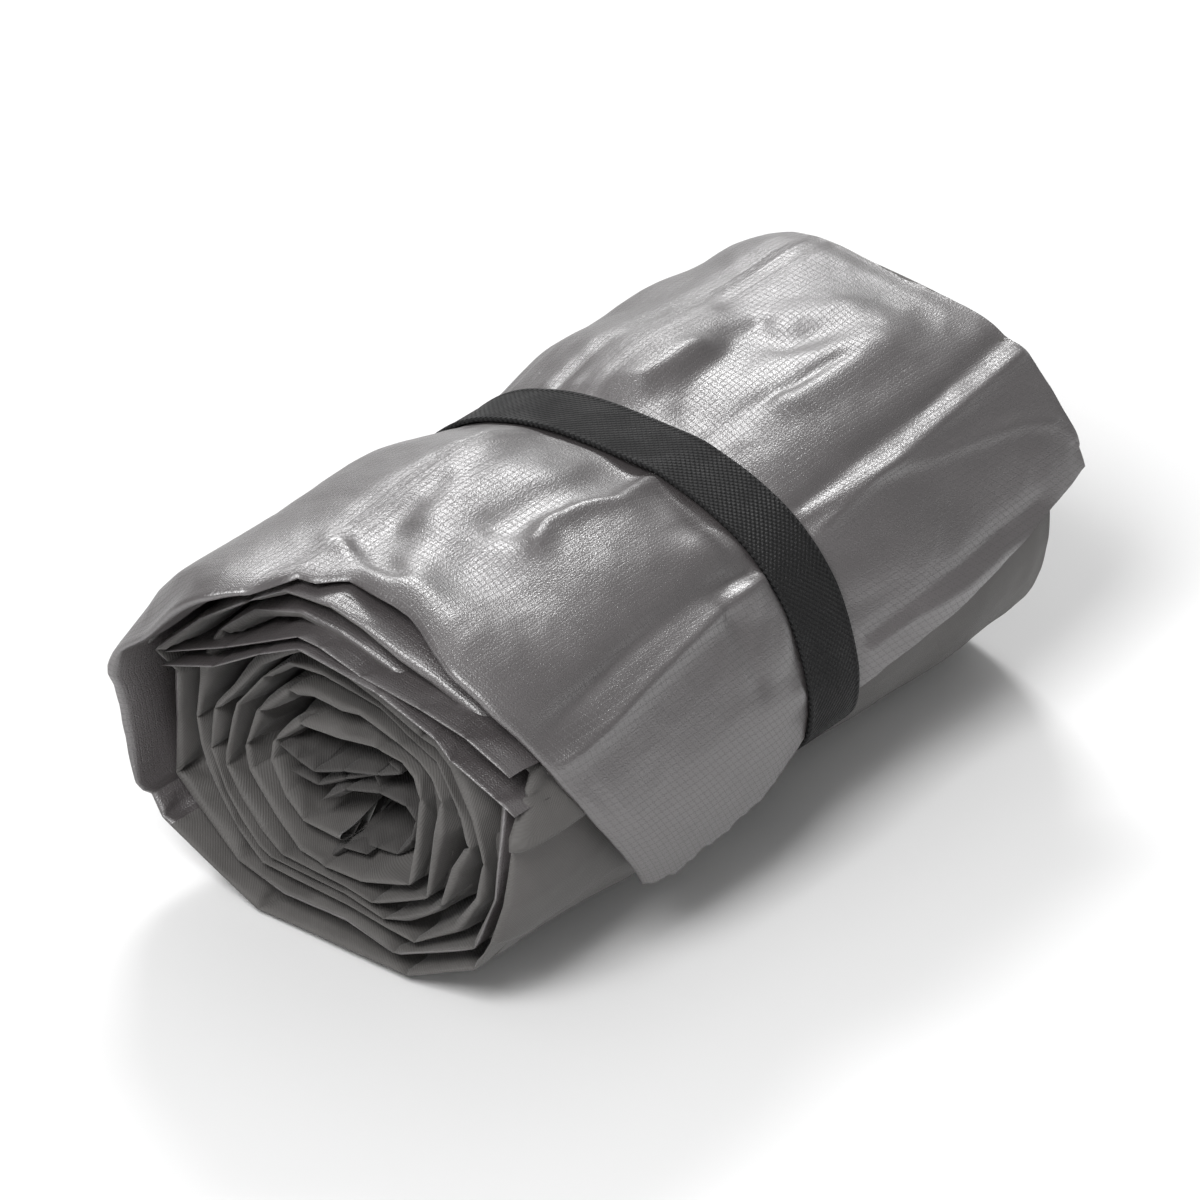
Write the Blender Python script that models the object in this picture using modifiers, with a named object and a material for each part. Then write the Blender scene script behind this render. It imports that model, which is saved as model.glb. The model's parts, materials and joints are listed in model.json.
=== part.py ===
"""A deflated air mat, folded once along its length, rolled up and held by an elastic strap.

Metres, +Z up. The roll's axis lies along X: the mat's fold shows at -X and its two long edges at +X.
The free end of the mat lies low on the front, at -Y, and the valve is on the back, at +Y.
The origin is under the middle of the whole object, on the surface that it lies on.
"""

import math

import bmesh
import bpy
import numpy as np
from mathutils import Matrix, Vector

# The roll's section: round ends of this radius on both sides of a flat core
ROLL_RADIUS = 0.0655
CORE_FLAT = 0.046
CORE_EYE = 0.0004

# The mat's cloth, folded once, so that each turn has four layers
CLOTH = 0.0007
BAFFLE_ROOM = 0.0017
FOLD_GAP = 0.0006
TURN_GAP = 0.0017
SEAT_GAP = 0.0003

# Places along the roll
NEAR_FOLD = -0.145
FAR_EDGE = 0.138
FAR_EDGE_INNER = 0.128
EDGE_TUCK = (250.0, 360.0)
LEAF_STAGGER = 0.005
STRAP_AT = 0.001
WAIST_REACH = 0.050

# Girth along the roll, as shares of the section, and how far the waist is lifted
GIRTH_NEAR = 0.985
GIRTH_BULGE = 1.03
GIRTH_WAIST = 0.945
GIRTH_FAR = 1.01
WAIST_LIFT = 0.0022

# The rounded fold: where it begins and how blunt its nose is, as shares of half a turn's thickness
FOLD_BEGIN = 3.2
FOLD_NOSE = 0.2

# The outer turn: its slanting free edge, cut-back corner and telescoped fold
FREE_EDGE_NEAR = -28.0
FREE_EDGE_FAR = 16.0
FLAP_END = 45.0
FLAP_LIFT = 0.003
CORNER_CUT = 0.057
CORNER_END = 65.0
TELESCOPE = 0.014
TELESCOPE_AT = 138.0
TELESCOPE_SPREAD = 50.0
TOP_NOTCH = 0.018
TOP_NOTCH_AT = 86.0
TOP_NOTCH_SPREAD = 22.0

# The inner turns' fold stands back from the front foot round to the back, and the far edge's tongue
RIM_RETREAT = 0.013
RIM_RETREAT_FROM = (8.0, 30.0)
RIM_RETREAT_TO = (225.0, 275.0)
FAR_TONGUE = 0.007
FAR_TONGUE_AT = 112.0
FAR_TONGUE_SPREAD = 60.0

# Welded cross strips between the two sheets
BAFFLE_WIDTH = 0.030

# Elastic strap
STRAP_WIDTH = 0.025
STRAP_THICKNESS = 0.0013
STRAP_OVERLAP = 0.024
STRAP_RAMP = 3 * STRAP_THICKNESS
STITCH_BAR = 0.0012
STITCH_HEIGHT = 0.0005
STITCH_MARGIN = 0.003

# Valve, in its own frame on the sheet: heights are above the sheet's outer face
VALVE_AT = 0.095
SHEET_HOLE_RADIUS = 0.0090
FLANGE_RADIUS = 0.0200
FLANGE_THICKNESS = 0.0010
COLLAR_BORE = 0.0100
COLLAR_WALL = 0.0022
COLLAR_HEIGHT = 0.0030
PLUG_RIM = 0.0120
PLUG_TOP = 0.0010
PLUG_CLEARANCE = 0.0003
PLUG_TAPER = 0.0007
PLUG_FLOOR = 0.0010
PORT_BORE = 0.0050
HUB_RADIUS = 0.0019
HUB_HOLE = 0.0011
SPOKE_WIDTH = 0.0012
CAP_RADIUS = 0.0065
CAP_THICKNESS = 0.0008
CAP_DEPTH = 0.0022
CAP_TAPER = 0.0006
MEMBRANE_RADIUS = 0.0060
MEMBRANE_THICKNESS = 0.0005
MEMBRANE_TRAVEL = 0.0008
STEM_RADIUS = 0.0008
STEM_HEAD_RADIUS = 0.0014
STEM_HEAD = 0.0004
HINGE_WIDTH = 0.0060
HINGE_REACH = 0.0030
HINGE_BLOCK = 0.0020
ROUND_STEPS = 28

STACK = 4 * CLOTH + 2 * BAFFLE_ROOM + FOLD_GAP
PITCH = STACK + TURN_GAP
TURNS = (ROLL_RADIUS - STACK - CORE_EYE) / PITCH
HALF_FLAT = CORE_FLAT / 2

# Steps between the rings, and how far round a turn's neighbours lie
FINE_STEP = 22.5
MIDDLE_STEP = 45.0
COARSE_STEP = 90.0
COARSE_RADIUS = 0.020
VALVE_FACET = (135.0, 180.0)
NEXT_TURN = (300.0, 400.0)


def smooth(t):
    """Eases from 0 to 1."""
    t = np.clip(t, 0.0, 1.0)
    return t * t * (3.0 - 2.0 * t)


def inset(angle):
    """How far the turn at this running angle has wound inwards."""
    wound = PITCH * (angle - FREE_EDGE_NEAR) / 360.0
    lift = FLAP_LIFT * (1.0 - smooth((angle - FREE_EDGE_NEAR) / (FLAP_END - FREE_EDGE_NEAR)))
    return wound - lift


def bump(angle, middle, spread):
    """Rises from 0 to 1 at the middle and falls again, over the spread on either side."""
    return 1.0 - smooth(abs(angle - middle) / spread)


def fold_x(angle):
    """Where the fold lies along the roll.

    The outer turn is cut back at its free corner and on top, and telescoped out at the back. The
    turns inside it stand back except underneath and in front."""
    cut = CORNER_CUT * (1.0 - smooth((angle - FREE_EDGE_NEAR) / (CORNER_END - FREE_EDGE_NEAR)))
    notch = TOP_NOTCH * bump(angle, TOP_NOTCH_AT, TOP_NOTCH_SPREAD)
    out = TELESCOPE * bump(angle, TELESCOPE_AT, TELESCOPE_SPREAD)
    begin, end = RIM_RETREAT_FROM, RIM_RETREAT_TO
    round_turn = angle % 360.0
    back = smooth((round_turn - begin[0]) / (begin[1] - begin[0]))
    back -= smooth((round_turn - end[0]) / (end[1] - end[0]))
    inner = RIM_RETREAT * back if angle > NEXT_TURN[0] else 0.0
    return NEAR_FOLD + cut + notch - out + inner


def edge_x(angle):
    """Where the mat's long edges lie: the outer turn reaches further than the turns inside it."""
    tucked = smooth((angle - EDGE_TUCK[0]) / (EDGE_TUCK[1] - EDGE_TUCK[0]))
    tongue = FAR_TONGUE * bump(angle, FAR_TONGUE_AT, FAR_TONGUE_SPREAD)
    return FAR_EDGE - (FAR_EDGE - FAR_EDGE_INNER) * tucked + tongue


def girth(x):
    """The section's scale and lift at a place along the roll."""
    near, far = NEAR_FOLD, FAR_EDGE
    stops = (near, STRAP_AT - WAIST_REACH, STRAP_AT, STRAP_AT + WAIST_REACH, far)
    scale = np.interp(x, stops, (GIRTH_NEAR, GIRTH_BULGE, GIRTH_WAIST, GIRTH_BULGE, GIRTH_FAR))
    lift = np.interp(x, stops, (0.0, 0.0, WAIST_LIFT, 0.0, 0.0))
    return float(scale), float(lift)


def roll_point(angle, side, x, depth):
    """The point at a running angle, on the front (-1) or back (+1) round end, this deep in its turn."""
    radius = ROLL_RADIUS - inset(angle) - depth
    turned = math.radians(angle)
    scale, lift = girth(x)
    y = (side * HALF_FLAT - radius * math.cos(turned)) * scale
    z = (ROLL_RADIUS_BASE + radius * math.sin(turned)) * scale + lift
    return Vector((x, y, z))


# The bottom of the outer turn touches the ground, so the section's centre is that radius above it
ROLL_RADIUS_BASE = ROLL_RADIUS - inset(270.0)


def ring_angles():
    """Rings along the spiral, each (angle at the near end, angle at the far end, side), outside first."""
    rings = []
    for share in (0.0, 1.0 / 3.0, 2.0 / 3.0):
        near = FREE_EDGE_NEAR + (FLAP_END - FREE_EDGE_NEAR) * share
        far = FREE_EDGE_FAR + (FLAP_END - FREE_EDGE_FAR) * share
        rings.append((near, far, -1))
    last = FREE_EDGE_NEAR + 360.0 * TURNS
    angle = FLAP_END
    while angle <= last:
        turned = (angle + 90.0) % 360.0
        side = -1 if turned < 180.0 else 1
        if turned % 180.0 < 0.01:
            rings.append((angle, angle, -side))
        rings.append((angle, angle, side))
        if angle < FLAP_END + 360.0:
            step = FINE_STEP
        elif ROLL_RADIUS - inset(angle) > COARSE_RADIUS or angle % COARSE_STEP > 0.01:
            step = MIDDLE_STEP
        else:
            step = COARSE_STEP
        if angle == VALVE_FACET[0]:
            step = VALVE_FACET[1] - VALVE_FACET[0]
        angle += step
    return rings


def leaf_stations(angle, leaf, offset):
    """Places along the roll of one leaf's points, from the fold to the long edge."""
    start = fold_x(angle) + offset + FOLD_BEGIN * (STACK / 2 - offset)
    end = edge_x(angle) - LEAF_STAGGER * leaf
    return (start, STRAP_AT - WAIST_REACH, STRAP_AT, STRAP_AT + WAIST_REACH, end)


def folded_curve(near, far, side, offset):
    """One face of the folded mat across a ring: out along the outer leaf, round the fold and back."""
    corner = fold_x(near)
    span = edge_x(far) - corner

    def placed(x, depth):
        share = (x - corner) / span
        return roll_point(near + (far - near) * share, side, x, depth)

    half = STACK / 2 - offset
    outer = [placed(x, offset) for x in reversed(leaf_stations(near, 0, offset))]
    nose = [placed(corner + offset, STACK / 2 + half * share) for share in (-FOLD_NOSE, FOLD_NOSE)]
    inner = [placed(x, STACK - offset) for x in leaf_stations(near, 1, offset)]
    return outer + nose + inner


def folded_sheet(name, rings, offset, thickness):
    """A closed sheet that follows the fold and the spiral, this far in from the mat's outer face."""
    outer = [folded_curve(*ring, offset) for ring in rings]
    inner = [folded_curve(*ring, offset + thickness) for ring in rings]
    wide = len(outer[0])
    tall = len(rings)
    points = [p for row in outer for p in row] + [p for row in inner for p in row]
    skin = tall * wide
    faces = []

    def face(*corners):
        faces.append(corners)

    for i in range(tall - 1):
        for j in range(wide - 1):
            a = i * wide + j
            b, c, d = a + 1, a + wide + 1, a + wide
            face(a, b, c)
            face(a, c, d)
            face(skin + a, skin + c, skin + b)
            face(skin + a, skin + d, skin + c)
        for j in (0, wide - 1):
            a = i * wide + j
            d = a + wide
            rim = (a, d, skin + d, skin + a)
            face(*(rim if j == 0 else reversed(rim)))
    for i in (0, tall - 1):
        for j in range(wide - 1):
            a = i * wide + j
            rim = (a, skin + a, skin + a + 1, a + 1)
            face(*(rim if i == 0 else reversed(rim)))
    return mesh_object(name, points, faces)


def mesh_object(name, points, faces):
    """A mesh object from points and faces, with its faces turned outwards."""
    mesh = bpy.data.meshes.new(name)
    mesh.from_pydata([tuple(p) for p in points], [], [tuple(f) for f in faces])
    work = bmesh.new()
    work.from_mesh(mesh)
    bmesh.ops.recalc_face_normals(work, faces=work.faces)
    work.to_mesh(mesh)
    work.free()
    made = bpy.data.objects.new(name, mesh)
    parts.objects.link(made)
    return made


def material(name, colour, roughness, metallic=0.0):
    """A plain finish."""
    made = bpy.data.materials.new(name)
    made.use_nodes = True
    shader = made.node_tree.nodes["Principled BSDF"]
    shader.inputs["Base Color"].default_value = (*colour, 1.0)
    shader.inputs["Roughness"].default_value = roughness
    shader.inputs["Metallic"].default_value = metallic
    return made


def turned(name, profile, place, collection):
    """A turned solid: the profile's (radius, height) points spun about the local Z axis."""
    mesh = bpy.data.meshes.new(name)
    count = len(profile)
    closed = profile[0][0] > 0.0
    edges = [(i, i + 1) for i in range(count - 1)] + ([(count - 1, 0)] if closed else [])
    mesh.from_pydata([(r, 0.0, h) for r, h in profile], edges, [])
    made = bpy.data.objects.new(name, mesh)
    collection.objects.link(made)
    screw = made.modifiers.new("Turn", "SCREW")
    screw.axis = "Z"
    screw.steps = ROUND_STEPS
    screw.render_steps = ROUND_STEPS
    screw.use_merge_vertices = True
    screw.merge_threshold = 0.00001
    made.matrix_world = place
    return made


def box(name, low, high, place, collection):
    """A box between two corners in the valve's or the strap's own frame."""
    mesh = bpy.data.meshes.new(name)
    work = bmesh.new()
    bmesh.ops.create_cube(work, size=1.0)
    middle = (Vector(low) + Vector(high)) / 2
    size = Vector(high) - Vector(low)
    bmesh.ops.scale(work, vec=size, verts=work.verts)
    bmesh.ops.translate(work, vec=middle, verts=work.verts)
    work.to_mesh(mesh)
    work.free()
    made = bpy.data.objects.new(name, mesh)
    collection.objects.link(made)
    made.matrix_world = place
    return made


def combine(target, tool, operation):
    """A Boolean with a tool object that is left out of the model."""
    tool.hide_render = True
    tool.display_type = "WIRE"
    made = target.modifiers.new(tool.name, "BOOLEAN")
    made.operation = operation
    made.solver = "EXACT"
    made.object = tool


def valve_frame():
    """The valve's frame: X along the roll, Y down the flat of the sheet, Z out of it."""
    low, high = VALVE_FACET[1], VALVE_FACET[0]
    near, far = STRAP_AT + WAIST_REACH, FAR_EDGE

    def middle(x):
        return (roll_point(low, 1, x, 0.0) + roll_point(high, 1, x, 0.0)) / 2

    along = (middle(far) - middle(near)).normalized()
    down = (roll_point(low, 1, VALVE_AT, 0.0) - roll_point(high, 1, VALVE_AT, 0.0)).normalized()
    out = along.cross(down).normalized()
    centre = middle(near).lerp(middle(far), (VALVE_AT - near) / (far - near))
    frame = Matrix((along, down, out)).transposed().to_4x4()
    frame.translation = centre
    return frame


def hull(points):
    """The convex outline round points (y, z), as seen from -X with -Y to the right, turning one way."""
    ordered = sorted({(round(y, 9), round(z, 9)) for y, z in points})

    def half(path):
        kept = []
        for p in path:
            while len(kept) > 1 and cross(kept[-2], kept[-1], p) <= 0.0:
                kept.pop()
            kept.append(p)
        return kept[:-1]

    def cross(a, b, c):
        return (b[0] - a[0]) * (c[1] - a[1]) - (b[1] - a[1]) * (c[0] - a[0])

    return [Vector(p) for p in half(ordered) + half(reversed(ordered))]


def grown(outline, distance):
    """The outline moved outwards by a distance, with its corners kept."""
    found = []
    count = len(outline)
    for i, p in enumerate(outline):
        before = (p - outline[i - 1]).normalized()
        after = (outline[(i + 1) % count] - p).normalized()
        normals = Vector((before.y, -before.x)), Vector((after.y, -after.x))
        middle = (normals[0] + normals[1]).normalized()
        found.append(p + middle * distance / middle.dot(normals[0]))
    return found


def strap_outline(rings):
    """The outline that the strap lies round: the outer turn at the strap's two edges."""
    points = []
    for near, far, side in rings:
        if near > FREE_EDGE_NEAR + 360.0:
            break
        for x in (STRAP_AT - STRAP_WIDTH / 2, STRAP_AT + STRAP_WIDTH / 2):
            share = (x - fold_x(near)) / (edge_x(far) - fold_x(near))
            p = roll_point(near + (far - near) * share, side, x, 0.0)
            points.append((p.y, p.z))
    return hull(points)


def strap_path(outline):
    """The strap's inner and outer lines round the roll, and the middle of its sewn overlap."""
    count = len(outline)
    aim = math.radians(sum(VALVE_FACET) / 2)
    facing = Vector((-math.cos(aim), math.sin(aim)))

    def normal(i):
        run = (outline[(i + 1) % count] - outline[i]).normalized()
        return Vector((run.y, -run.x))

    seam = max(range(count), key=lambda i: normal(i).dot(facing))
    step = STRAP_THICKNESS + SEAT_GAP
    layers = {}
    for level in (0, 1):
        low = SEAT_GAP + level * step
        layers[level] = grown(outline, low), grown(outline, low + STRAP_THICKNESS)
    a, b = outline[seam], outline[(seam + 1) % count]
    length = (b - a).length
    middle = a.lerp(b, 0.5)
    run = (b - a) / length
    out = normal(seam)

    def pair(along, level):
        foot = middle + run * along
        low = SEAT_GAP + level * step
        return foot + out * low, foot + out * (low + STRAP_THICKNESS)

    start = -STRAP_OVERLAP / 2
    path = [pair(start, 0)]
    for i in range(1, count + 1):
        j = (seam + i) % count
        path.append((layers[0][0][j], layers[0][1][j]))
    path.append(pair(start - STRAP_RAMP, 0))
    path.append(pair(start - STRAP_THICKNESS, 1))
    path.append(pair(STRAP_OVERLAP / 2, 1))
    top = SEAT_GAP + step + STRAP_THICKNESS
    return path, middle, run, out, top


def build_strap(rings):
    """The elastic band, drawn once round the roll with its end sewn over its start, and its stitches."""
    path, middle, run, out, top = strap_path(strap_outline(rings))
    left, right = STRAP_AT - STRAP_WIDTH / 2, STRAP_AT + STRAP_WIDTH / 2
    points = []
    for low, high in path:
        points += [(left, *low), (right, *low), (right, *high), (left, *high)]
    faces = []
    for i in range(len(path) - 1):
        a = 4 * i
        for j in range(4):
            k = (j + 1) % 4
            faces.append((a + j, a + k, a + 4 + k, a + 4 + j))
    faces.append((0, 3, 2, 1))
    end = 4 * (len(path) - 1)
    faces.append((end, end + 1, end + 2, end + 3))
    band = mesh_object("elastic_strap", points, faces)

    frame = Matrix(((1.0, 0.0, 0.0), (0.0, *run), (0.0, *out))).transposed().to_4x4()
    frame.translation = Vector((STRAP_AT, middle.x, middle.y))
    half = STRAP_WIDTH / 2 - STITCH_MARGIN
    at = STRAP_OVERLAP / 2 - STITCH_MARGIN
    low = top + SEAT_GAP
    stitches = []
    for i, place in enumerate((-at, at)):
        low_corner = (-half, place - STITCH_BAR / 2, low)
        high_corner = (half, place + STITCH_BAR / 2, low + STITCH_HEIGHT)
        stitches.append(box(f"strap_stitch_{i + 1}", low_corner, high_corner, frame, parts))
    return [band, *stitches]


def build_baffles(rings):
    """The cross strips: one on each flat of each turn, folded with the mat between its two sheets."""
    strips = []
    trim = (CORE_FLAT - BAFFLE_WIDTH) / 2
    offset = CLOTH + SEAT_GAP
    thickness = BAFFLE_ROOM - 2 * SEAT_GAP
    for first, second in zip(rings, rings[1:]):
        if first[0] != second[0]:
            continue
        strip = folded_sheet(f"cross_baffle_{len(strips) + 1:02d}", [first, second], offset, thickness)
        for v in strip.data.vertices:
            scale = girth(v.co.x)[0]
            v.co.y -= math.copysign(trim, v.co.y) * scale
        strips.append(strip)
    return strips


def build_valve(sheet):
    """The valve's flange, plug, cap and membrane, and the hole in the sheet under them."""
    frame = valve_frame()
    seat = SEAT_GAP
    flange_top = seat + FLANGE_THICKNESS
    collar_top = flange_top + COLLAR_HEIGHT
    collar = COLLAR_BORE + COLLAR_WALL
    hinge_at = PLUG_RIM + HINGE_REACH
    plug_under = collar_top + SEAT_GAP
    plug_top = plug_under + PLUG_TOP
    half_hinge = HINGE_WIDTH / 2

    cutter = turned(
        "sheet_hole",
        [(0.0, CLOTH), (SHEET_HOLE_RADIUS, CLOTH), (SHEET_HOLE_RADIUS, -CLOTH - BAFFLE_ROOM / 2),
         (0.0, -CLOTH - BAFFLE_ROOM / 2)],
        frame,
        cutters,
    )
    combine(sheet, cutter, "DIFFERENCE")

    flange = turned(
        "valve_flange",
        [(COLLAR_BORE, collar_top), (collar, collar_top), (collar, flange_top), (FLANGE_RADIUS, flange_top),
         (FLANGE_RADIUS, seat), (COLLAR_BORE, seat)],
        frame,
        parts,
    )
    block_low = (-half_hinge, hinge_at + SEAT_GAP / 2, flange_top - FLANGE_THICKNESS / 2)
    block_high = (half_hinge, hinge_at + SEAT_GAP / 2 + HINGE_BLOCK, plug_top - SEAT_GAP / 2)
    combine(flange, box("plug_hinge_block", block_low, block_high, frame, cutters), "UNION")

    body = COLLAR_BORE - PLUG_CLEARANCE
    floor = SEAT_GAP
    plug = turned(
        "valve_plug",
        [(PORT_BORE, plug_top), (PLUG_RIM, plug_top), (PLUG_RIM, plug_under), (body, plug_under),
         (body - PLUG_TAPER, floor), (PORT_BORE, floor)],
        frame,
        parts,
    )
    tab_low = (-half_hinge, PLUG_RIM - PLUG_TOP, plug_under)
    tab_high = (half_hinge, hinge_at - SEAT_GAP / 2, plug_top)
    combine(plug, box("plug_tab", tab_low, tab_high, frame, cutters), "UNION")
    hub = turned(
        "port_hub",
        [(HUB_HOLE, floor + PLUG_FLOOR), (HUB_RADIUS, floor + PLUG_FLOOR), (HUB_RADIUS, floor), (HUB_HOLE, floor)],
        frame,
        cutters,
    )
    combine(plug, hub, "UNION")
    reach = PORT_BORE + PLUG_CLEARANCE
    start = (HUB_RADIUS + HUB_HOLE) / 2
    for quarter in range(4):
        turn = frame @ Matrix.Rotation(math.radians(45.0 + 90.0 * quarter), 4, "Z")
        low = (start, -SPOKE_WIDTH / 2, floor)
        high = (reach, SPOKE_WIDTH / 2, floor + PLUG_FLOOR)
        combine(plug, box(f"port_spoke_{quarter}", low, high, turn, cutters), "UNION")

    cap_hinge_at = CAP_RADIUS + HINGE_REACH - SEAT_GAP
    cap_under = plug_top + SEAT_GAP
    cap_top = cap_under + CAP_THICKNESS
    low = (-half_hinge, -cap_hinge_at - SEAT_GAP / 2 - HINGE_BLOCK, plug_top - PLUG_TOP / 2)
    high = (half_hinge, -cap_hinge_at - SEAT_GAP / 2, cap_top - SEAT_GAP / 2)
    combine(plug, box("cap_hinge_block", low, high, frame, cutters), "UNION")

    spigot = PORT_BORE - PLUG_CLEARANCE
    cap = turned(
        "inflation_cap",
        [(0.0, cap_top), (CAP_RADIUS, cap_top), (CAP_RADIUS, cap_under), (spigot, cap_under),
         (spigot - CAP_TAPER, plug_top - CAP_DEPTH), (0.0, plug_top - CAP_DEPTH)],
        frame,
        parts,
    )
    low = (-half_hinge, -cap_hinge_at + SEAT_GAP / 2, cap_under)
    high = (half_hinge, -CAP_RADIUS + CAP_THICKNESS, cap_top)
    combine(cap, box("cap_tab", low, high, frame, cutters), "UNION")

    disc_top = floor - SEAT_GAP
    head = floor + PLUG_FLOOR + SEAT_GAP + MEMBRANE_TRAVEL
    membrane = turned(
        "one_way_membrane",
        [(0.0, head + STEM_HEAD), (STEM_HEAD_RADIUS, head + STEM_HEAD), (STEM_HEAD_RADIUS, head),
         (STEM_RADIUS, head), (STEM_RADIUS, disc_top), (MEMBRANE_RADIUS, disc_top),
         (MEMBRANE_RADIUS, disc_top - MEMBRANE_THICKNESS), (0.0, disc_top - MEMBRANE_THICKNESS)],
        frame,
        parts,
    )
    axes = {
        "plug_hinge": frame @ Vector((0.0, hinge_at, plug_top)),
        "cap_hinge": frame @ Vector((0.0, -cap_hinge_at, cap_top)),
        "along": frame.to_3x3().col[0],
        "out": frame.to_3x3().col[2],
    }
    return [flange, plug, cap, membrane], axes


def least_turn_gap(rings):
    """The least space between one turn's inner face and the next turn's outer face, at the waist."""
    inner, outer = [], []
    for near, far, side in rings:
        if near != far:
            continue
        inner.append((near, roll_point(near, side, STRAP_AT, STACK)))
        outer.append((near, roll_point(near, side, STRAP_AT, 0.0)))
    least = math.inf
    for (low, a), (high, b) in zip(outer, outer[1:]):
        for angle, p in inner:
            if not NEXT_TURN[0] < low - angle < NEXT_TURN[1]:
                continue
            run = b - a
            if run.length == 0.0:
                continue
            share = min(max((p - a).dot(run) / run.length_squared, 0.0), 1.0)
            least = min(least, (p - a - run * share).length)
    return least


def mat_length(rings):
    """The mat's length: the middle of its layers followed along the spiral."""
    points = [roll_point((near + far) / 2, side, NEAR_FOLD, STACK / 2) for near, far, side in rings]
    return sum((b - a).length for a, b in zip(points, points[1:])) / GIRTH_NEAR


def centre_on_ground(objects):
    """Moves the whole object so that the origin is under the middle of its box."""
    bpy.context.view_layer.update()
    graph = bpy.context.evaluated_depsgraph_get()
    low = np.full(3, np.inf)
    high = np.full(3, -np.inf)
    for o in objects:
        shown = o.evaluated_get(graph)
        corners = np.array([shown.matrix_world @ v.co for v in shown.data.vertices])
        low = np.minimum(low, corners.min(axis=0))
        high = np.maximum(high, corners.max(axis=0))
    shift = Vector((-(low[0] + high[0]) / 2, -(low[1] + high[1]) / 2, -low[2]))
    for o in list(parts.objects) + list(cutters.objects):
        o.matrix_world = Matrix.Translation(shift) @ o.matrix_world
    return shift, high - low


def hang_on_axis(name, place, piece):
    """Parents a moving piece to an empty on its hinge's axis, and leaves it where it is."""
    axis = bpy.data.objects.new(name, None)
    axis.matrix_world = Matrix.Translation(place)
    parts.objects.link(axis)
    bpy.context.view_layer.update()
    piece.parent = axis
    piece.matrix_parent_inverse = axis.matrix_world.inverted()


for old in list(bpy.data.objects):
    bpy.data.objects.remove(old)
parts = bpy.data.collections.new("rolled_sleeping_mat")
cutters = bpy.data.collections.new("cutters")
for made_collection in (parts, cutters):
    bpy.context.scene.collection.children.link(made_collection)

spiral = ring_angles()
inner_offset = CLOTH + BAFFLE_ROOM
bottom_sheet = folded_sheet("bottom_sheet", spiral, 0.0, CLOTH)
top_sheet = folded_sheet("top_sheet", spiral, inner_offset, CLOTH)
baffles = build_baffles(spiral)
valve_parts, valve_axes = build_valve(bottom_sheet)
strap_parts = build_strap(spiral)

finishes = {
    "bottom_sheet": ((0.17, 0.165, 0.16), 0.45),
    "top_sheet": ((0.14, 0.135, 0.13), 0.8),
    "cross_baffle": ((0.5, 0.5, 0.48), 0.7),
    "elastic_strap": ((0.022, 0.022, 0.023), 0.85),
    "strap_stitch": ((0.015, 0.015, 0.016), 0.7),
    "valve_flange": ((0.05, 0.05, 0.052), 0.5),
    "valve_plug": ((0.07, 0.07, 0.072), 0.5),
    "inflation_cap": ((0.05, 0.05, 0.052), 0.45),
    "one_way_membrane": ((0.45, 0.45, 0.43), 0.4),
}
solids = [bottom_sheet, top_sheet, *baffles, *strap_parts, *valve_parts]
for solid in solids:
    colour, roughness = finishes[solid.name.rstrip("_0123456789")]
    solid.data.materials.clear()
    solid.data.materials.append(material(solid.name, colour, roughness))

moved, overall = centre_on_ground(solids)
for hinge, piece_name in (("plug_hinge", "valve_plug"), ("cap_hinge", "inflation_cap")):
    hang_on_axis(hinge + "_axis", valve_axes[hinge] + moved, bpy.data.objects[piece_name])
fold_width = FAR_EDGE - NEAR_FOLD
print(f"turns {TURNS:.2f}, rings {len(spiral)}, least gap between turns {least_turn_gap(spiral) * 1000:.2f} mm")
print(f"mat {mat_length(spiral):.3f} m long, {2 * fold_width:.3f} m wide")
print("size", [round(float(v), 4) for v in overall], "moved", [round(v, 5) for v in moved])
for key in ("plug_hinge", "cap_hinge"):
    print(key, [round(v, 6) for v in valve_axes[key] + moved])
for key in ("along", "out"):
    print(key, [round(v, 6) for v in valve_axes[key]])
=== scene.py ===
import json
import math

import bpy
import numpy as np
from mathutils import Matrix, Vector


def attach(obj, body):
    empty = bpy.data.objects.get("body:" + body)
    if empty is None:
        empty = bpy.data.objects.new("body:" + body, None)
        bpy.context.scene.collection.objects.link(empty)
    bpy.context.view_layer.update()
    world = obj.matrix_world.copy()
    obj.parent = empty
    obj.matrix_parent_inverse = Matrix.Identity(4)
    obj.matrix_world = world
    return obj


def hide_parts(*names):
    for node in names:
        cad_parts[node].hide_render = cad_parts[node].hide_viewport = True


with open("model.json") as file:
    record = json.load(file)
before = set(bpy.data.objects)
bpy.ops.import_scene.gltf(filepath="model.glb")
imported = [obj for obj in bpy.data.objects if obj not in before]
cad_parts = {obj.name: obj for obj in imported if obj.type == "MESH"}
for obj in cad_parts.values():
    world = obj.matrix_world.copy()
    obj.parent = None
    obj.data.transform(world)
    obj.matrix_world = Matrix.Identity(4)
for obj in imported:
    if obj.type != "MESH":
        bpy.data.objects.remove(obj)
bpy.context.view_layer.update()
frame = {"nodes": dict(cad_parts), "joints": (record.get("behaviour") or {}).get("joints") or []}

# The inflatable sleeping mat, folded once along its length, rolled up and held by an elastic strap.
# All lengths are in metres. A place on the roll is given by x, along the roll, and by the running
# angle in degrees: 0 at the front, 90 on top, 180 at the back, 270 underneath, then on inwards by
# 360 for every turn. Roll coordinates become the frame's by adding SHIFT.

SHIFT = np.array([0.00693, 0.00233, 0.0])

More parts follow.
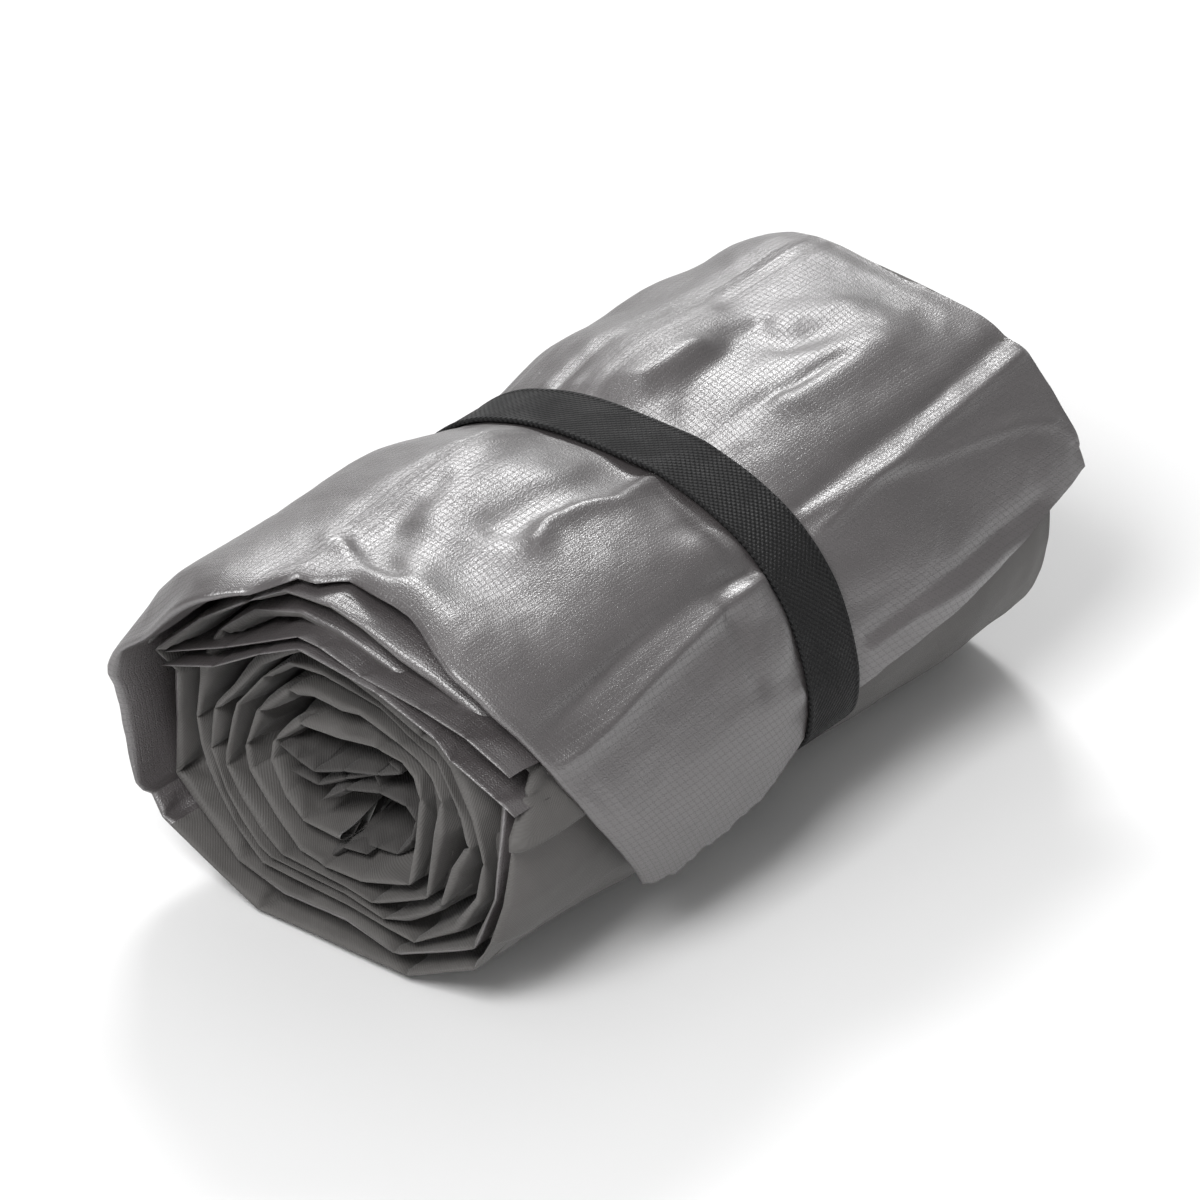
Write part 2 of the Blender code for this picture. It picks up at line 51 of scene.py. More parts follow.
# The rolled section: a stadium with eased ends, wound inwards
ROLL_RADIUS = 0.0655
PITCH = 0.0085  # how far one turn comes in
STACK = 0.0066  # how thick the folded mat lies in a turn
HALF_FLAT = 0.023
EASE = 3.5
BASE = 0.05846  # the section's middle over the floor
FREE_NEAR, FREE_FAR = -28.0, 16.0  # the free edge's running angle at both ends of the roll
FLAP_END, FLAP_LIFT = 45.0, 0.003
LAST_ANGLE = 2436.0
PANEL_FROM, PANEL_TO = 223.0, 400.0  # the matt panel under the flap, between wrap and inner turns
SATIN_TO = 850.0  # the outer leaf keeps the satin side out up to here
FLAP_TO, FOOT_FROM, OUTER_TO = 208, 212, 332  # the outer rim: its flap's end, and its foot on the floor
SECOND_TURN = 372.0  # from here inwards the cloth is only softly crumpled

# Along the roll
HALF_WIDTH = 0.283  # the mat's width from its fold to its long edges
FAR_EDGE, FAR_EDGE_INNER = 0.138, 0.128
EDGE_TUCK = (250.0, 360.0)
LEAF_STAGGER = 0.005
FAR_TONGUE, TONGUE_AT, TONGUE_HALF = 0.008, 112, 32
WELD, WELD_DEPTH = 0.010, 0.0014
STRAP_AT, STRAP_WIDTH, STRAP_THICKNESS = 0.001, 0.025, 0.0013
STRAP_OVERLAP = 0.024
GIRTH_AT = (-0.145, -0.049, 0.001, 0.051, 0.138)
GIRTH = (0.985, 1.035, 0.945, 1.025, 1.01)
WAIST_LIFT, WAIST_HALF = 0.0029, 0.025
SPIRAL_AT = 0.09  # the spiral's length is measured this far before the roll's middle
FLOOR_CLEARANCE = 0.0002
BAFFLE_COUNT, BAFFLE_HALF = 14, 0.015
LINING_DEPTHS, BAFFLE_DEPTHS = (0.0034, STACK - 0.0030), (0.0028, STACK - 0.0016)

# How the fold opens behind its rim
NOSE, NOSE_LENGTH = 0.12, 0.001
OPEN_SHARE, OPEN_LENGTH = 0.30, 0.008
FOOT_GAP, OUTER_GAP, CORE_GAP = 0.0030, 0.0078, 0.0065
EVEN_FROM, EVEN_OVER = 0.006, 0.055  # behind the rim the leaf comes over to its even place here
RIM_HALF, FOOT_DEPTH = 0.0033, 0.0008
NEAR_LIFT, LIFT_FROM, LIFT_OVER = 0.0048, -0.085, 0.05
DENT, DENT_FROM, DENT_OVER, DENT_AT, DENT_ANGLES = 0.0078, -0.136, 0.018, 101, 61

# The near rim of the outer turn: running angle and x in millimetres
OUTER_RIM = [
    (-28, -88), (-8, -104), (6, -115), (22, -125), (34, -130), (49, -136), (64, -138), (72, -134),
    (81, -126), (87, -125), (93, -123), (95, -131), (98, -131), (101, -147), (107, -153), (115, -156),
    (130, -157), (145, -156), (158, -154), (163, -154), (170, -150), (180, -147), (192, -146),
    (208, -148), (212, -142),
]
# From the foot of the flap the outer turn's rim is straight between these running angles
FOOT_RIM = [(212, -142), (220, -143), (257, -143.5), (287, -144), (316, -145)]
# Corners of the rims with a pocket: the fold is pinched thin there
PINCHES = [
    220, 257, 287, 316, 384, 470, 510, 569, 602, 649, 684, 758, 846, 903,
    955, 1018, 1081, 1142, 1182, 1250, 1279, 1370, 1403, 1446, 1500, 1562, 1650, 1694,
    1726, 1758, 1828, 1867, 1914, 1948, 1995, 2070, 2111, 2193, 2235, 2276, 2342, 2415,
]
# The mat's inner end, tucked loosely into the eye: x of each fold's rim, then its y and z, in millimetres
CORE_FOLDS = [
    (-132, [(17, 33.9), (8.4, 33.8), (-1.1, 33.9), (-12.5, 35.7), (-20.9, 36.7), (-26.5, 43.6),
            (-28.6, 51.7), (-24.7, 55.7), (-14, 56.3), (0, 52), (10.2, 43.9)]),
    (-132, [(26.8, 57.8), (19.8, 55.2), (12.7, 53.4), (0.8, 58.4), (-13.2, 62.5), (-22.6, 66.8), (-18, 69)]),
    (-130, [(24.3, 48.4), (13, 47.4), (1.7, 54.2), (-10.2, 60.6), (-12.5, 56.7)]),
    (-136, [(5.2, 25.6), (-2.1, 33.6), (-12, 35)]),
]
# Two loose pleats of the satin side that stand out under the third turn's top, given likewise
LOOSE_PLEATS = [
    (-141, [(67.5, 79.7), (39.9, 92), (10.1, 107.2), (1.7, 106.9), (-14.9, 102.7), (-38.6, 100.2),
            (-56.1, 97.0), (-73.5, 89.9)]),
    (-143, [(65, 76.8), (43.3, 84.7), (24.5, 96.4), (8.5, 104.4), (-22.6, 101), (-46, 93.5), (-51.8, 88.4),
            (-69.3, 81.6), (-77, 78.3)]),
]
# The near rims of the inner turns: running angle, x, y and z in millimetres, corner by corner
INNER_RIMS = [
    (330, -145, -68.6, 30.2), (348, -145, -73.9, 46.1), (372, -142, -75.7, 68.7), (390, -130, -72.3, 85.9),
    (402, -130, -60.1, 92.4), (414, -131, -49.9, 98.4), (426, -132, -36.5, 104.2), (435, -134, -25, 109.2),
    (444, -134, -10.1, 114.8), (452, -134, 2.6, 117.7), (462, -134, 20.8, 116.2), (470, -136, 33.5, 108.8),
    (488, -140, 50.8, 97.6), (510, -144, 66.5, 82.3), (520, -137, 63.7, 72.1), (548, -133, 68.2, 50.8),
    (569, -133, 69.9, 30.5), (602, -138, 40.1, 12.6), (619, -142, 17, 11.9), (636, -144, -9.4, 14.6),
    (649, -145, -29.6, 10.7), (684, -146, -63.1, 26.9), (708, -145, -70.7, 47.1), (720, -145, -71.6, 57.1),
    (756, -130, -63.5, 87.5), (770, -131, -49.8, 93.4), (788, -132, -31, 99.3), (804, -133, -9.2, 106.2),
    (810, -133, -0.3, 108.1), (819, -133, 15.8, 109.8), (832, -134, 33.3, 104.7), (846, -136, 46.3, 93.5),
    (871, -135, 55.3, 75.8), (903, -133, 60, 55.1), (918, -133, 57.9, 45.6), (942, -134, 49.6, 30.9),
    (955, -136, 42.3, 24.1), (970, -139, 29, 16.9), (998, -144, -11.6, 20), (1018, -145, -38.2, 18.1),
    (1041, -145, -54.8, 29.8), (1062, -145, -64.1, 43.6), (1081, -145, -66.5, 57.9), (1099, -142, -59.5, 69.9),
    (1122, -136, -46.2, 80), (1134, -134, -38.6, 83.4), (1142, -133, -31.6, 84), (1159, -132, -15, 89.4),
    (1171, -132, 1, 94), (1182, -132, 17.1, 95.6), (1198, -133, 32, 85.3), (1230, -134, 44.1, 69.8),
    (1250, -134, 51.4, 62.3), (1279, -133, 54.6, 45.8), (1302, -134, 47.6, 33), (1314, -135, 40.9, 26.3),
    (1326, -138, 31.1, 21.7), (1332, -139, 25.3, 20.2), (1356, -143, -8.6, 22.8), (1370, -145, -26, 21.7),
    (1380, -145, -34.7, 25.8), (1392, -145, -43.8, 31.5), (1404, -145, -49.5, 36.8), (1428, -145, -54.3, 50.9),
    (1446, -145, -61, 61.5), (1458, -142, -55.5, 68.3), (1488, -136, -40.6, 80.1), (1506, -133, -25.6, 83),
    (1512, -132, -21, 84.5), (1519, -131, -13.9, 86.7), (1537, -131, 10, 90), (1548, -131, 22.6, 88.6),
    (1562, -132, 32.7, 79.8), (1596, -133, 43.2, 66.3), (1644, -133, 48.3, 45.4), (1650, -133, 48.4, 42),
    (1668, -134, 41.4, 33.5), (1684, -136, 31.4, 26.3), (1694, -139, 20.7, 23.2), (1716, -143, -8.7, 25.5),
    (1726, -145, -21.1, 25.6), (1746, -145, -36.9, 33.3), (1758, -145, -43.8, 36.8), (1806, -144, -46.8, 60.9),
    (1828, -142, -47.6, 71.3), (1842, -139, -41.4, 75.9), (1854, -137, -34.4, 78.4), (1867, -134, -24.4, 78.8),
    (1886, -131, -5.1, 81.5), (1892, -131, 2.2, 80.1), (1903, -130, 15.2, 80.3), (1914, -130, 24.3, 77.5),
    (1950, -131, 36.3, 65.5), (1998, -131, 41.7, 50.8), (2018, -131, 40.2, 42.5), (2046, -134, 26.5, 32),
    (2059, -138, 13.9, 27.1), (2066, -140, 4.4, 27.7), (2070, -141, 1.3, 27.7), (2082, -143, -15, 30.1),
    (2112, -145, -36.6, 38.6), (2142, -143, -37.9, 52.1), (2193, -141, -38.1, 68), (2209, -139, -34.1, 73.3),
    (2221, -137, -27.7, 75.4), (2238, -133, -12.3, 73.2), (2252, -131, 2.5, 69.2), (2276, -129, 20.6, 66.1),
    (2346, -129, 31.3, 55.8), (2378, -129, 32.7, 48.2), (2403, -131, 25.8, 39), (2416, -133, 16.8, 34.4),
    (2432, -137, -1.9, 37.4),
]


def smooth(t):
    """An eased step from 0 to 1 as t goes from 0 to 1."""
    t = np.clip(t, 0.0, 1.0)
    return t * t * (3 - 2 * t)


def mix(a, b, t):
    return a + (b - a) * t


def hump(distance, width):
    """A bell of height 1 that falls to 1/e at the width."""
    return np.exp(-((distance / width) ** 2))


def inset(angle):
    """How far the winding has come in from the outside at a running angle."""
    return PITCH * (angle - FREE_NEAR) / 360 - FLAP_LIFT * (
        1 - smooth((angle - FREE_NEAR) / (FLAP_END - FREE_NEAR))
    )


def stepped(x, stops, values):
    """Values at stops with an eased step from each to the next."""
    out = np.full(np.shape(x), float(values[0]))
    for i in range(len(stops) - 1):
        share = smooth((x - stops[i]) / (stops[i + 1] - stops[i]))
        out = out + (values[i + 1] - values[i]) * share
    return out


def oval(x, angle, depth):
    """A point of the roll at x, a running angle and a depth under the turn's outer face.

    The radius shrinks evenly with the running angle. Its end circles are eased into the flats by a
    hyperbolic tangent, and the whole section is narrowed at the strap and fuller beside it."""
    turn = np.radians(angle)
    radius = ROLL_RADIUS - inset(angle) - depth
    flat = HALF_FLAT * np.tanh(EASE * np.cos(turn)) / math.tanh(EASE)
    scale = stepped(x, GIRTH_AT, GIRTH)
    lift = WAIST_LIFT * hump(x - STRAP_AT, WAIST_HALF)
    y = -(flat + radius * np.cos(turn)) * scale
    z = (BASE + radius * np.sin(turn)) * scale + lift
    return np.stack(np.broadcast_arrays(x, y, z), -1)


def outward(angle):
    """Away from the roll's middle at a running angle."""
    turn = np.radians(angle)
    return np.stack([np.zeros_like(turn), -np.cos(turn), np.sin(turn)], -1)


def waves(p, wavelength, seed):
    """A smooth random field over points p: plane waves in random directions, about -1 to 1."""
    count = 14
    random = np.random.default_rng(seed)
    out = np.zeros(p.shape[:-1])
    for _ in range(count):
        way = random.uniform(0, 2 * math.pi)
        k = 2 * math.pi / (wavelength * random.uniform(0.75, 1.4))
        phase = random.uniform(0, 2 * math.pi)
        out += np.sin(k * (p[..., 0] * math.cos(way) + p[..., 1] * math.sin(way)) + phase)
    return out / math.sqrt(count * 2)


# ---- the spiral's length, and the near rim ----
def lengths(line):
    """The length of a line of points from its start to each of them."""
    return np.concatenate([[0], np.cumsum(np.linalg.norm(np.diff(line, axis=0), axis=1))])


SPIRAL_ANGLES = np.arange(FREE_NEAR, LAST_ANGLE + 1.0)
SPIRAL_LENGTHS = lengths(oval(np.zeros_like(SPIRAL_ANGLES) - SPIRAL_AT, SPIRAL_ANGLES, STACK / 2))


def along(angle):
    """The length of the mat from its free edge to a running angle."""
    return np.interp(angle, SPIRAL_ANGLES, SPIRAL_LENGTHS)


def rim_tables():
    """Running angles and points of the whole near rim: outer turn, its foot, inner turns."""
    outer = np.array(OUTER_RIM, float)
    fine = np.arange(FREE_NEAR, outer[-1, 0], 3.0)
    fine_x = np.interp(fine, outer[:, 0], outer[:, 1]) / 1000
    points = oval(fine_x, fine, RIM_HALF)
    foot = np.array(FOOT_RIM, float)
    low = oval(foot[:, 1] / 1000, foot[:, 0], FOOT_DEPTH)
    inner = np.array(INNER_RIMS, float)
    inner[:, 1:] /= 1000
    angles = np.concatenate([fine, foot[:, 0], inner[:, 0]])
    return angles, np.concatenate([points, low, inner[:, 1:]])


RIM_ANGLES, RIM_POINTS = rim_tables()


def lifted(point, angle, dented=True):
    """The outer turn's near end stands up off the inner ones on top, and is drawn in behind."""
    top = np.clip(np.sin(np.radians(angle)), 0, 1) ** 1.5
    rise = NEAR_LIFT * top * smooth((LIFT_FROM - point[..., 0]) / LIFT_OVER)
    if dented:
        facet = np.sin(math.pi * np.clip((angle - DENT_AT) / DENT_ANGLES, 0, 1)) ** 2
        rise = rise - DENT * facet * smooth((DENT_FROM - point[..., 0]) / DENT_OVER)
    return point + outward(angle) * (rise * smooth((345 - angle) / 90))[..., None]


def rim(angle):
    """The near rim of the folded mat at a running angle: straight between its corners."""
    point = np.stack([np.interp(angle, RIM_ANGLES, RIM_POINTS[:, i]) for i in range(3)], -1)
    extra = np.clip(angle - RIM_ANGLES[-1], 0, None)
    return lifted(point - outward(angle) * (PITCH * extra / 360)[..., None], angle)


def rim_gap(angle):
    """From the next inner turn's rim out to this one's, without its part along x."""
    known = angle + 360 <= RIM_ANGLES[-1]
    gap = rim(angle) - rim(np.where(known, angle + 360, angle))
    gap[..., 0] = 0
    return np.where(known[..., None], gap, outward(angle) * CORE_GAP)


def pinched(angle, distance):
    """How full the fold is: thin along a triangle that opens inwards from each pinched corner."""
    s = along(angle)
    places = along(np.array(PINCHES, float))
    after = np.clip(np.searchsorted(places, s), 1, len(places) - 1)
    off = np.minimum(np.abs(s - places[after - 1]), np.abs(s - places[after]))
    reach = 0.0004 + 0.75 * np.clip(distance, 0, 0.008)
    fade = 1 - smooth((distance - 0.007) / 0.010)
    return 1 - 0.85 * np.clip(1 - off / reach, 0, 1) * fade


def folded(angle, along_x, side, far_x, depth):
    """One leaf of the folded mat. Side +1 is the outer leaf, -1 the inner one.

    At the near rim the two leaves meet. From there each leaf moves away from the rim's middle line
    by a share of the gap to the neighbouring turn, first quickly, then slowly, and over the next
    centimetres it comes over to its even place in the winding."""
    edge = rim(angle)
    distance = along_x * (far_x - edge[..., 0])
    foot = (angle > FOOT_FROM) & (angle < OUTER_TO)
    outer_gap = outward(angle) * np.where(foot, FOOT_GAP, OUTER_GAP)[..., None]
    outside = np.where((angle < OUTER_TO)[..., None], outer_gap, rim_gap(angle - 360))
    gap = outside if side > 0 else rim_gap(angle)
    nose = NOSE * np.sqrt(np.clip(distance / NOSE_LENGTH, 0, 1))
    open_share = (nose + OPEN_SHARE * (1 - np.exp(-distance / OPEN_LENGTH))) * pinched(angle, distance)
    near = edge + side * gap * open_share[..., None]
    near[..., 0] = edge[..., 0] + distance
    deep = lifted(oval(edge[..., 0] + distance, angle, depth), angle, dented=side > 0)
    weight = smooth((distance - EVEN_FROM) / EVEN_OVER)
    flap = np.where(angle < OUTER_TO, 1.0 - smooth((angle - FLAP_TO) / 6), 0.0) if side > 0 else 0.0
    weight = np.maximum(weight, flap * smooth(distance / 0.012))
    return mix(near, deep, weight[..., None])


def edge_x(angle):
    """Where the long edges lie at the far end: less far in the inner turns, with a tongue on top."""
    tucked = smooth((angle - EDGE_TUCK[0]) / (EDGE_TUCK[1] - EDGE_TUCK[0]))
    tongue = FAR_TONGUE * hump(angle - TONGUE_AT, TONGUE_HALF)
    return FAR_EDGE - (FAR_EDGE - FAR_EDGE_INNER) * tucked + tongue


def ring_angle(near_angle, share):
    """A ring's angle along x: the outer turn's free edge runs slantwise, uneven near its corner."""
    swing = (FREE_FAR - FREE_NEAR) * (1 - smooth((near_angle - FREE_NEAR) / 160))
    loose = np.exp(-(near_angle - FREE_NEAR) / 5)
    jag = 1.1 * np.sin(share * 71) + 0.9 * np.sin(share * 173 + 1) + 0.5 * np.sin(share * 331)
    return near_angle + swing * share + jag * loose * np.exp(-share / 0.25)


def columns(near_steps, step, total=HALF_WIDTH):
    """Places along x from the rim, as shares of the way to the far edge."""
    near_steps = np.array(near_steps) / 1000
    rest = np.linspace(near_steps[-1], total, max(2, int(round((total - near_steps[-1]) / step)) + 1))[1:]
    return np.concatenate([near_steps, rest]) / total


def leaf_depth(side, distance_to_edge, sheet_depth):
    """The depth of a sheet under the turn's face, pinched towards its partner along the welded edge."""
    middle = WELD_DEPTH if side > 0 else STACK - WELD_DEPTH
    pinch = 1 - smooth(distance_to_edge / WELD)
    return mix(sheet_depth, middle + (sheet_depth - middle) * 0.25, pinch)


def grid_object(name, points, uv, tube=False):
    """A sheet from a grid of points, with its cloth's own coordinates as UV. A tube's last column
    joins its first, and its two ends are closed; its UV grid has one column more."""
    rows, cols = points.shape[:2]
    index = np.arange(rows * cols).reshape(rows, cols)
    at = np.arange(uv.shape[0] * uv.shape[1]).reshape(uv.shape[:2])
    if tube:
        index = np.concatenate([index, index[:, :1]], 1)

    def corners(grid):
        return np.stack([grid[:-1, :-1], grid[1:, :-1], grid[1:, 1:], grid[:-1, 1:]], -1).reshape(-1, 4)

    quads, uv_quads = corners(index), corners(at)
    loops, uv_loops = quads.ravel(), uv_quads.ravel()
    starts = np.arange(0, quads.size, 4)
    counts = np.full(len(quads), 4)
    if tube:
        loops = np.concatenate([loops, index[0, :-1], index[-1, :-1][::-1]])
        uv_loops = np.concatenate([uv_loops, at[0, :-1], at[-1, :-1][::-1]])
        starts = np.concatenate([starts, [quads.size, quads.size + cols]])
        counts = np.concatenate([counts, [cols, cols]])
    mesh = bpy.data.meshes.new(name)
    mesh.vertices.add(rows * cols)
    mesh.vertices.foreach_set("co", (points + SHIFT).reshape(-1, 3).astype(np.float32).ravel())
    mesh.loops.add(len(loops))
    mesh.loops.foreach_set("vertex_index", loops.astype(np.int32))
    mesh.polygons.add(len(starts))
    mesh.polygons.foreach_set("loop_start", starts.astype(np.int32))
    mesh.polygons.foreach_set("loop_total", counts.astype(np.int32))
    mesh.polygons.foreach_set("use_smooth", np.ones(len(starts), dtype=bool))
    layer = mesh.uv_layers.new(name="cloth")
    layer.data.foreach_set("uv", uv.reshape(-1, 2)[uv_loops].astype(np.float32).ravel())
    mesh.update()
    mesh.validate()
    body = bpy.data.objects.new(name, mesh)
    bpy.context.scene.collection.objects.link(body)
    return body


def normals(points):
    """Unit normals of a grid of points, outward for rings along the first axis."""
    down = np.gradient(points, axis=0)
    across = np.gradient(points, axis=1)
    n = np.cross(across, down)
    return n / np.maximum(np.linalg.norm(n, axis=-1, keepdims=True), 1e-12)


# ---- the valve's place, from the frame's joints ----
JOINTS = {joint["name"]: joint for joint in frame["joints"]}
OUT = -np.array(JOINTS["membrane_lift"]["axis"], float)
ACROSS = np.array(JOINTS["cap_hinge"]["axis"], float)
DOWN = np.cross(OUT, ACROSS)
HINGE_DROP, HINGE_OUT = 0.015, 0.0056
VALVE = np.array(JOINTS["plug_hinge"]["pos_m"], float) - HINGE_DROP * DOWN - HINGE_OUT * OUT - SHIFT
VALVE_ANGLE = math.degrees(math.atan2(OUT[2], -OUT[1]))
SEAT_RADIUS, SEAT_FADE, SEAT_DEPTH, SEAT_REACH, SEAT_GAP = 0.021, 0.022, 0.04, 0.02, 0.0002
DISH, DISH_RADIUS, DISH_FADE, DISH_DEPTH = 0.0018, 0.011, 0.005, 0.01


def seat_valve(points, under):
    """Presses the layers flat onto the valve's plane round the valve, less and less further off
    and further in, so that they keep their order. Under the membrane they give it room to lift."""
    rel = points - VALVE
    height = rel @ OUT
    radius = np.linalg.norm(rel - height[..., None] * OUT, axis=-1)
    keep = (1 - smooth((radius - SEAT_RADIUS) / SEAT_FADE)) * np.clip(1 - under / SEAT_DEPTH, 0, 1)
    keep = np.where(np.abs(height + under) < SEAT_REACH, keep, 0)
    dish = DISH * (1 - smooth((radius - DISH_RADIUS) / DISH_FADE)) * np.clip(1 - under / DISH_DEPTH, 0, 1)
    return points + OUT * ((-under - dish - height) * keep)[..., None]


# ---- wrinkles of the outer turn ----
RIDGE_ROUND = 0.0022  # how softly a crease's line is rounded
GATHER, GATHER_PITCH, GATHER_REACH = 0.0017, 0.0165, 0.021
SMALL_GATHER, SMALL_PITCH, SMALL_FROM, SMALL_TO = 0.0009, 0.0085, 96, 128
WORN_REGION = ((-0.16, 0.14), (0, 0.5))  # in x and in length along the mat
CALM_AT, CALM_HALF = (-0.090, 62), (0.045, 0.050)  # a spot without worn creases
VALLEY_LIMIT = 0.0022
FACET, FACET_FROM, FACET_ANGLES, FACET_AT, FACET_WIDE = 0.0050, 391, 20, -0.1315, 0.024


def creases(x, s, seed, count, length, width, height, region):
    """Short random folds on the cloth: ridges and valleys along straight lines in x and s.

    Each is a narrow cusp across its line that fades towards the line's two ends."""
    random = np.random.default_rng(seed)
    out = np.zeros(x.shape)
    for _ in range(count):
        cx, cs = random.uniform(*region[0]), random.uniform(*region[1])
        way = random.normal(math.radians(55), math.radians(32)) * random.choice([-1, 1])
        long = random.uniform(*length)
        wide = random.uniform(*width)
        tall = random.uniform(*height) * random.choice([1, 1, -1])
        u = (x - cx) * math.cos(way) + (s - cs) * math.sin(way)
        v = -(x - cx) * math.sin(way) + (s - cs) * math.cos(way)
        v = v + random.normal(0, 0.25) * u * u / long
        across = np.exp(-(np.sqrt(v * v + RIDGE_ROUND**2) - RIDGE_ROUND) / wide)
        out += tall * across * np.exp(-((u / (0.5 * long)) ** 4))
    return out


def strap_gathers(x, s):
    """Folds that run out from under the strap on both sides and fade away from it."""
    away = np.clip(np.abs(x - STRAP_AT) - STRAP_WIDTH / 2, 0, None)
    side = np.where(x > STRAP_AT, 1.0, 0.0)
    wander = 0.004 * np.sin(s / 0.021 + 2.4 * side) + 0.003 * np.sin(s / 0.047 + side)
    phase = (s + wander + 0.12 * (x - STRAP_AT)) / GATHER_PITCH + 1.7 * side
    fold = np.abs(np.sin(math.pi * phase)) ** 1.3 - 0.5
    strength = 0.6 + 0.4 * np.sin(s / 0.031 + 1.1 * side)
    free = smooth(away / 0.006)
    small = np.abs(np.sin(math.pi * (s / SMALL_PITCH + 0.3 * np.sin(s / 0.013) + 0.4 * side))) ** 1.5 - 0.4
    behind = smooth((s - along(SMALL_FROM)) / 0.01) * (1 - smooth((s - along(SMALL_TO)) / 0.02))
    small = SMALL_GATHER * small * behind * np.exp(-away / (0.006 + 0.008 * side))
    return (GATHER * fold * strength * np.exp(-away / GATHER_REACH) + small) * free


# Folds, swells and steps: height and width in millimetres, then places as x in millimetres and angle
FOLD_ROUND, STEP_HALF = 0.0014, 0.0018
STROKES = [
    ("fold", 3.4, 3.2, [(-73, 78), (-63, 80), (-50, 79), (-37, 76), (-18, 78), (-7, 79)]),
    ("swell", 1.6, 8.0, [(-83, 92), (-54, 96), (-15, 103)]),
    ("swell", -3.2, 7.5, [(-71, 84), (-56, 84), (-40, 82), (-20, 83), (-3, 84)]),
    ("swell", -3.4, 8.0, [(68, 90), (44, 88), (27, 85)]),
    ("swell", 2.4, 11.0, [(29, 99), (46, 98), (72, 99)]),
    ("swell", 1.8, 10.0, [(79, 90), (92, 89), (104, 86)]),
    ("swell", -2.6, 7.0, [(-12, 70), (-15, 63), (-18, 56)]),
    ("swell", 2.6, 8.0, [(-30, 54), (-18, 54)]),
    ("swell", 2.4, 8.0, [(-25, 36), (-16, 29)]),
    ("fold", -2.2, 2.5, [(-38, 39), (-38, 28), (-36, 17)]),
    ("fold", -3.0, 2.2, [(-126, 38), (-100, 41), (-78, 44), (-47, 46), (-17, 43)]),
    ("fold", 3.0, 2.4, [(-124, 28), (-105, 30), (-87, 33), (-63, 36), (-38, 39), (-15, 41)]),
    ("fold", -2.4, 2.6, [(18, 52), (47, 54), (89, 56), (135, 61)]),
    ("fold", 2.4, 2.6, [(16, 43), (43, 46), (91, 50), (135, 54)]),
    ("step", 1.6, 5.0, [(16, 47), (43, 46), (77, 41), (116, 36), (130, 31), (135, 26)]),
    ("fold", 2.0, 2.4, [(21, 4), (40, 7), (63, 7), (85, 9), (112, 9)]),
    ("fold", -1.6, 2.2, [(21, 9), (41, 11), (64, 13), (87, 15), (110, 16)]),
    ("fold", -2.4, 2.6, [(18, 80), (36, 80), (55, 78), (78, 77)]),
    ("swell", 2.6, 8.0, [(49, 76), (70, 75), (93, 74)]),
    ("swell", 2.2, 10.0, [(76, 80), (103, 78)]),
    ("fold", -2.6, 3.0, [(49, 89), (66, 91), (81, 92)]),
    ("fold", 2.2, 3.0, [(53, 93), (41, 93), (29, 94)]),
    ("swell", 1.8, 12.0, [(-90, 104), (-65, 102), (-32, 102)]),
    ("swell", 2.0, 9.0, [(-126, 82), (-108, 86), (-90, 88)]),
    ("swell", -1.8, 7.0, [(-114, 92), (-88, 96), (-68, 96)]),
    ("fold", 1.4, 2.0, [(-18, 7), (-11, 1), (-6, -6)]),
    ("fold", 2.4, 4.0, [(-108, 99), (-117, 92), (-122, 87)]),
    ("swell", -1.8, 4.0, [(-103, 98), (-110, 92), (-115, 87)]),
    ("fold", 1.3, 1.6, [(-118, 16), (-109, 3), (-99, -11), (-90, -22)]),
    ("fold", -1.0, 1.4, [(-115, 16), (-107, 3), (-96, -11), (-89, -20)]),
    ("swell", 1.8, 7.0, [(28, 95), (45, 94), (59, 92)]),
    ("swell", -1.6, 7.0, [(74, 90), (75, 85), (83, 84)]),
]


def strokes(x, s):
    """The mat's own larger folds, one by one, each along the line through its places.

    A fold is a rounded cusp across its line, a swell a bell, a step rises to the line's left."""
    out = np.zeros(x.shape)
    for kind, height, width, places in STROKES:
        places = np.array(places, float)
        px, ps = places[:, 0] / 1000, along(places[:, 1])
        best = np.full(x.shape, 1e9)
        sign = np.ones(x.shape)
        for i in range(len(places) - 1):
            ax, az = px[i], ps[i]
            bx, bz = px[i + 1] - ax, ps[i + 1] - az
            t = np.clip(((x - ax) * bx + (s - az) * bz) / (bx * bx + bz * bz), 0, 1)
            dx, dz = x - ax - t * bx, s - az - t * bz
            d = np.hypot(dx, dz)
            nearer = d < best
            best = np.where(nearer, d, best)
            sign = np.where(nearer, np.sign(bx * dz - bz * dx), sign)
        wide = width / 1000
        if kind == "fold":
            out += height / 1000 * np.exp(-(np.sqrt(best**2 + FOLD_ROUND**2) - FOLD_ROUND) / wide)
        elif kind == "swell":
            out += height / 1000 * hump(best, wide)
        else:
            rise = 0.5 * (1 + np.tanh(sign * best / STEP_HALF))
            out += height / 1000 * rise * hump(best, wide)
    return out


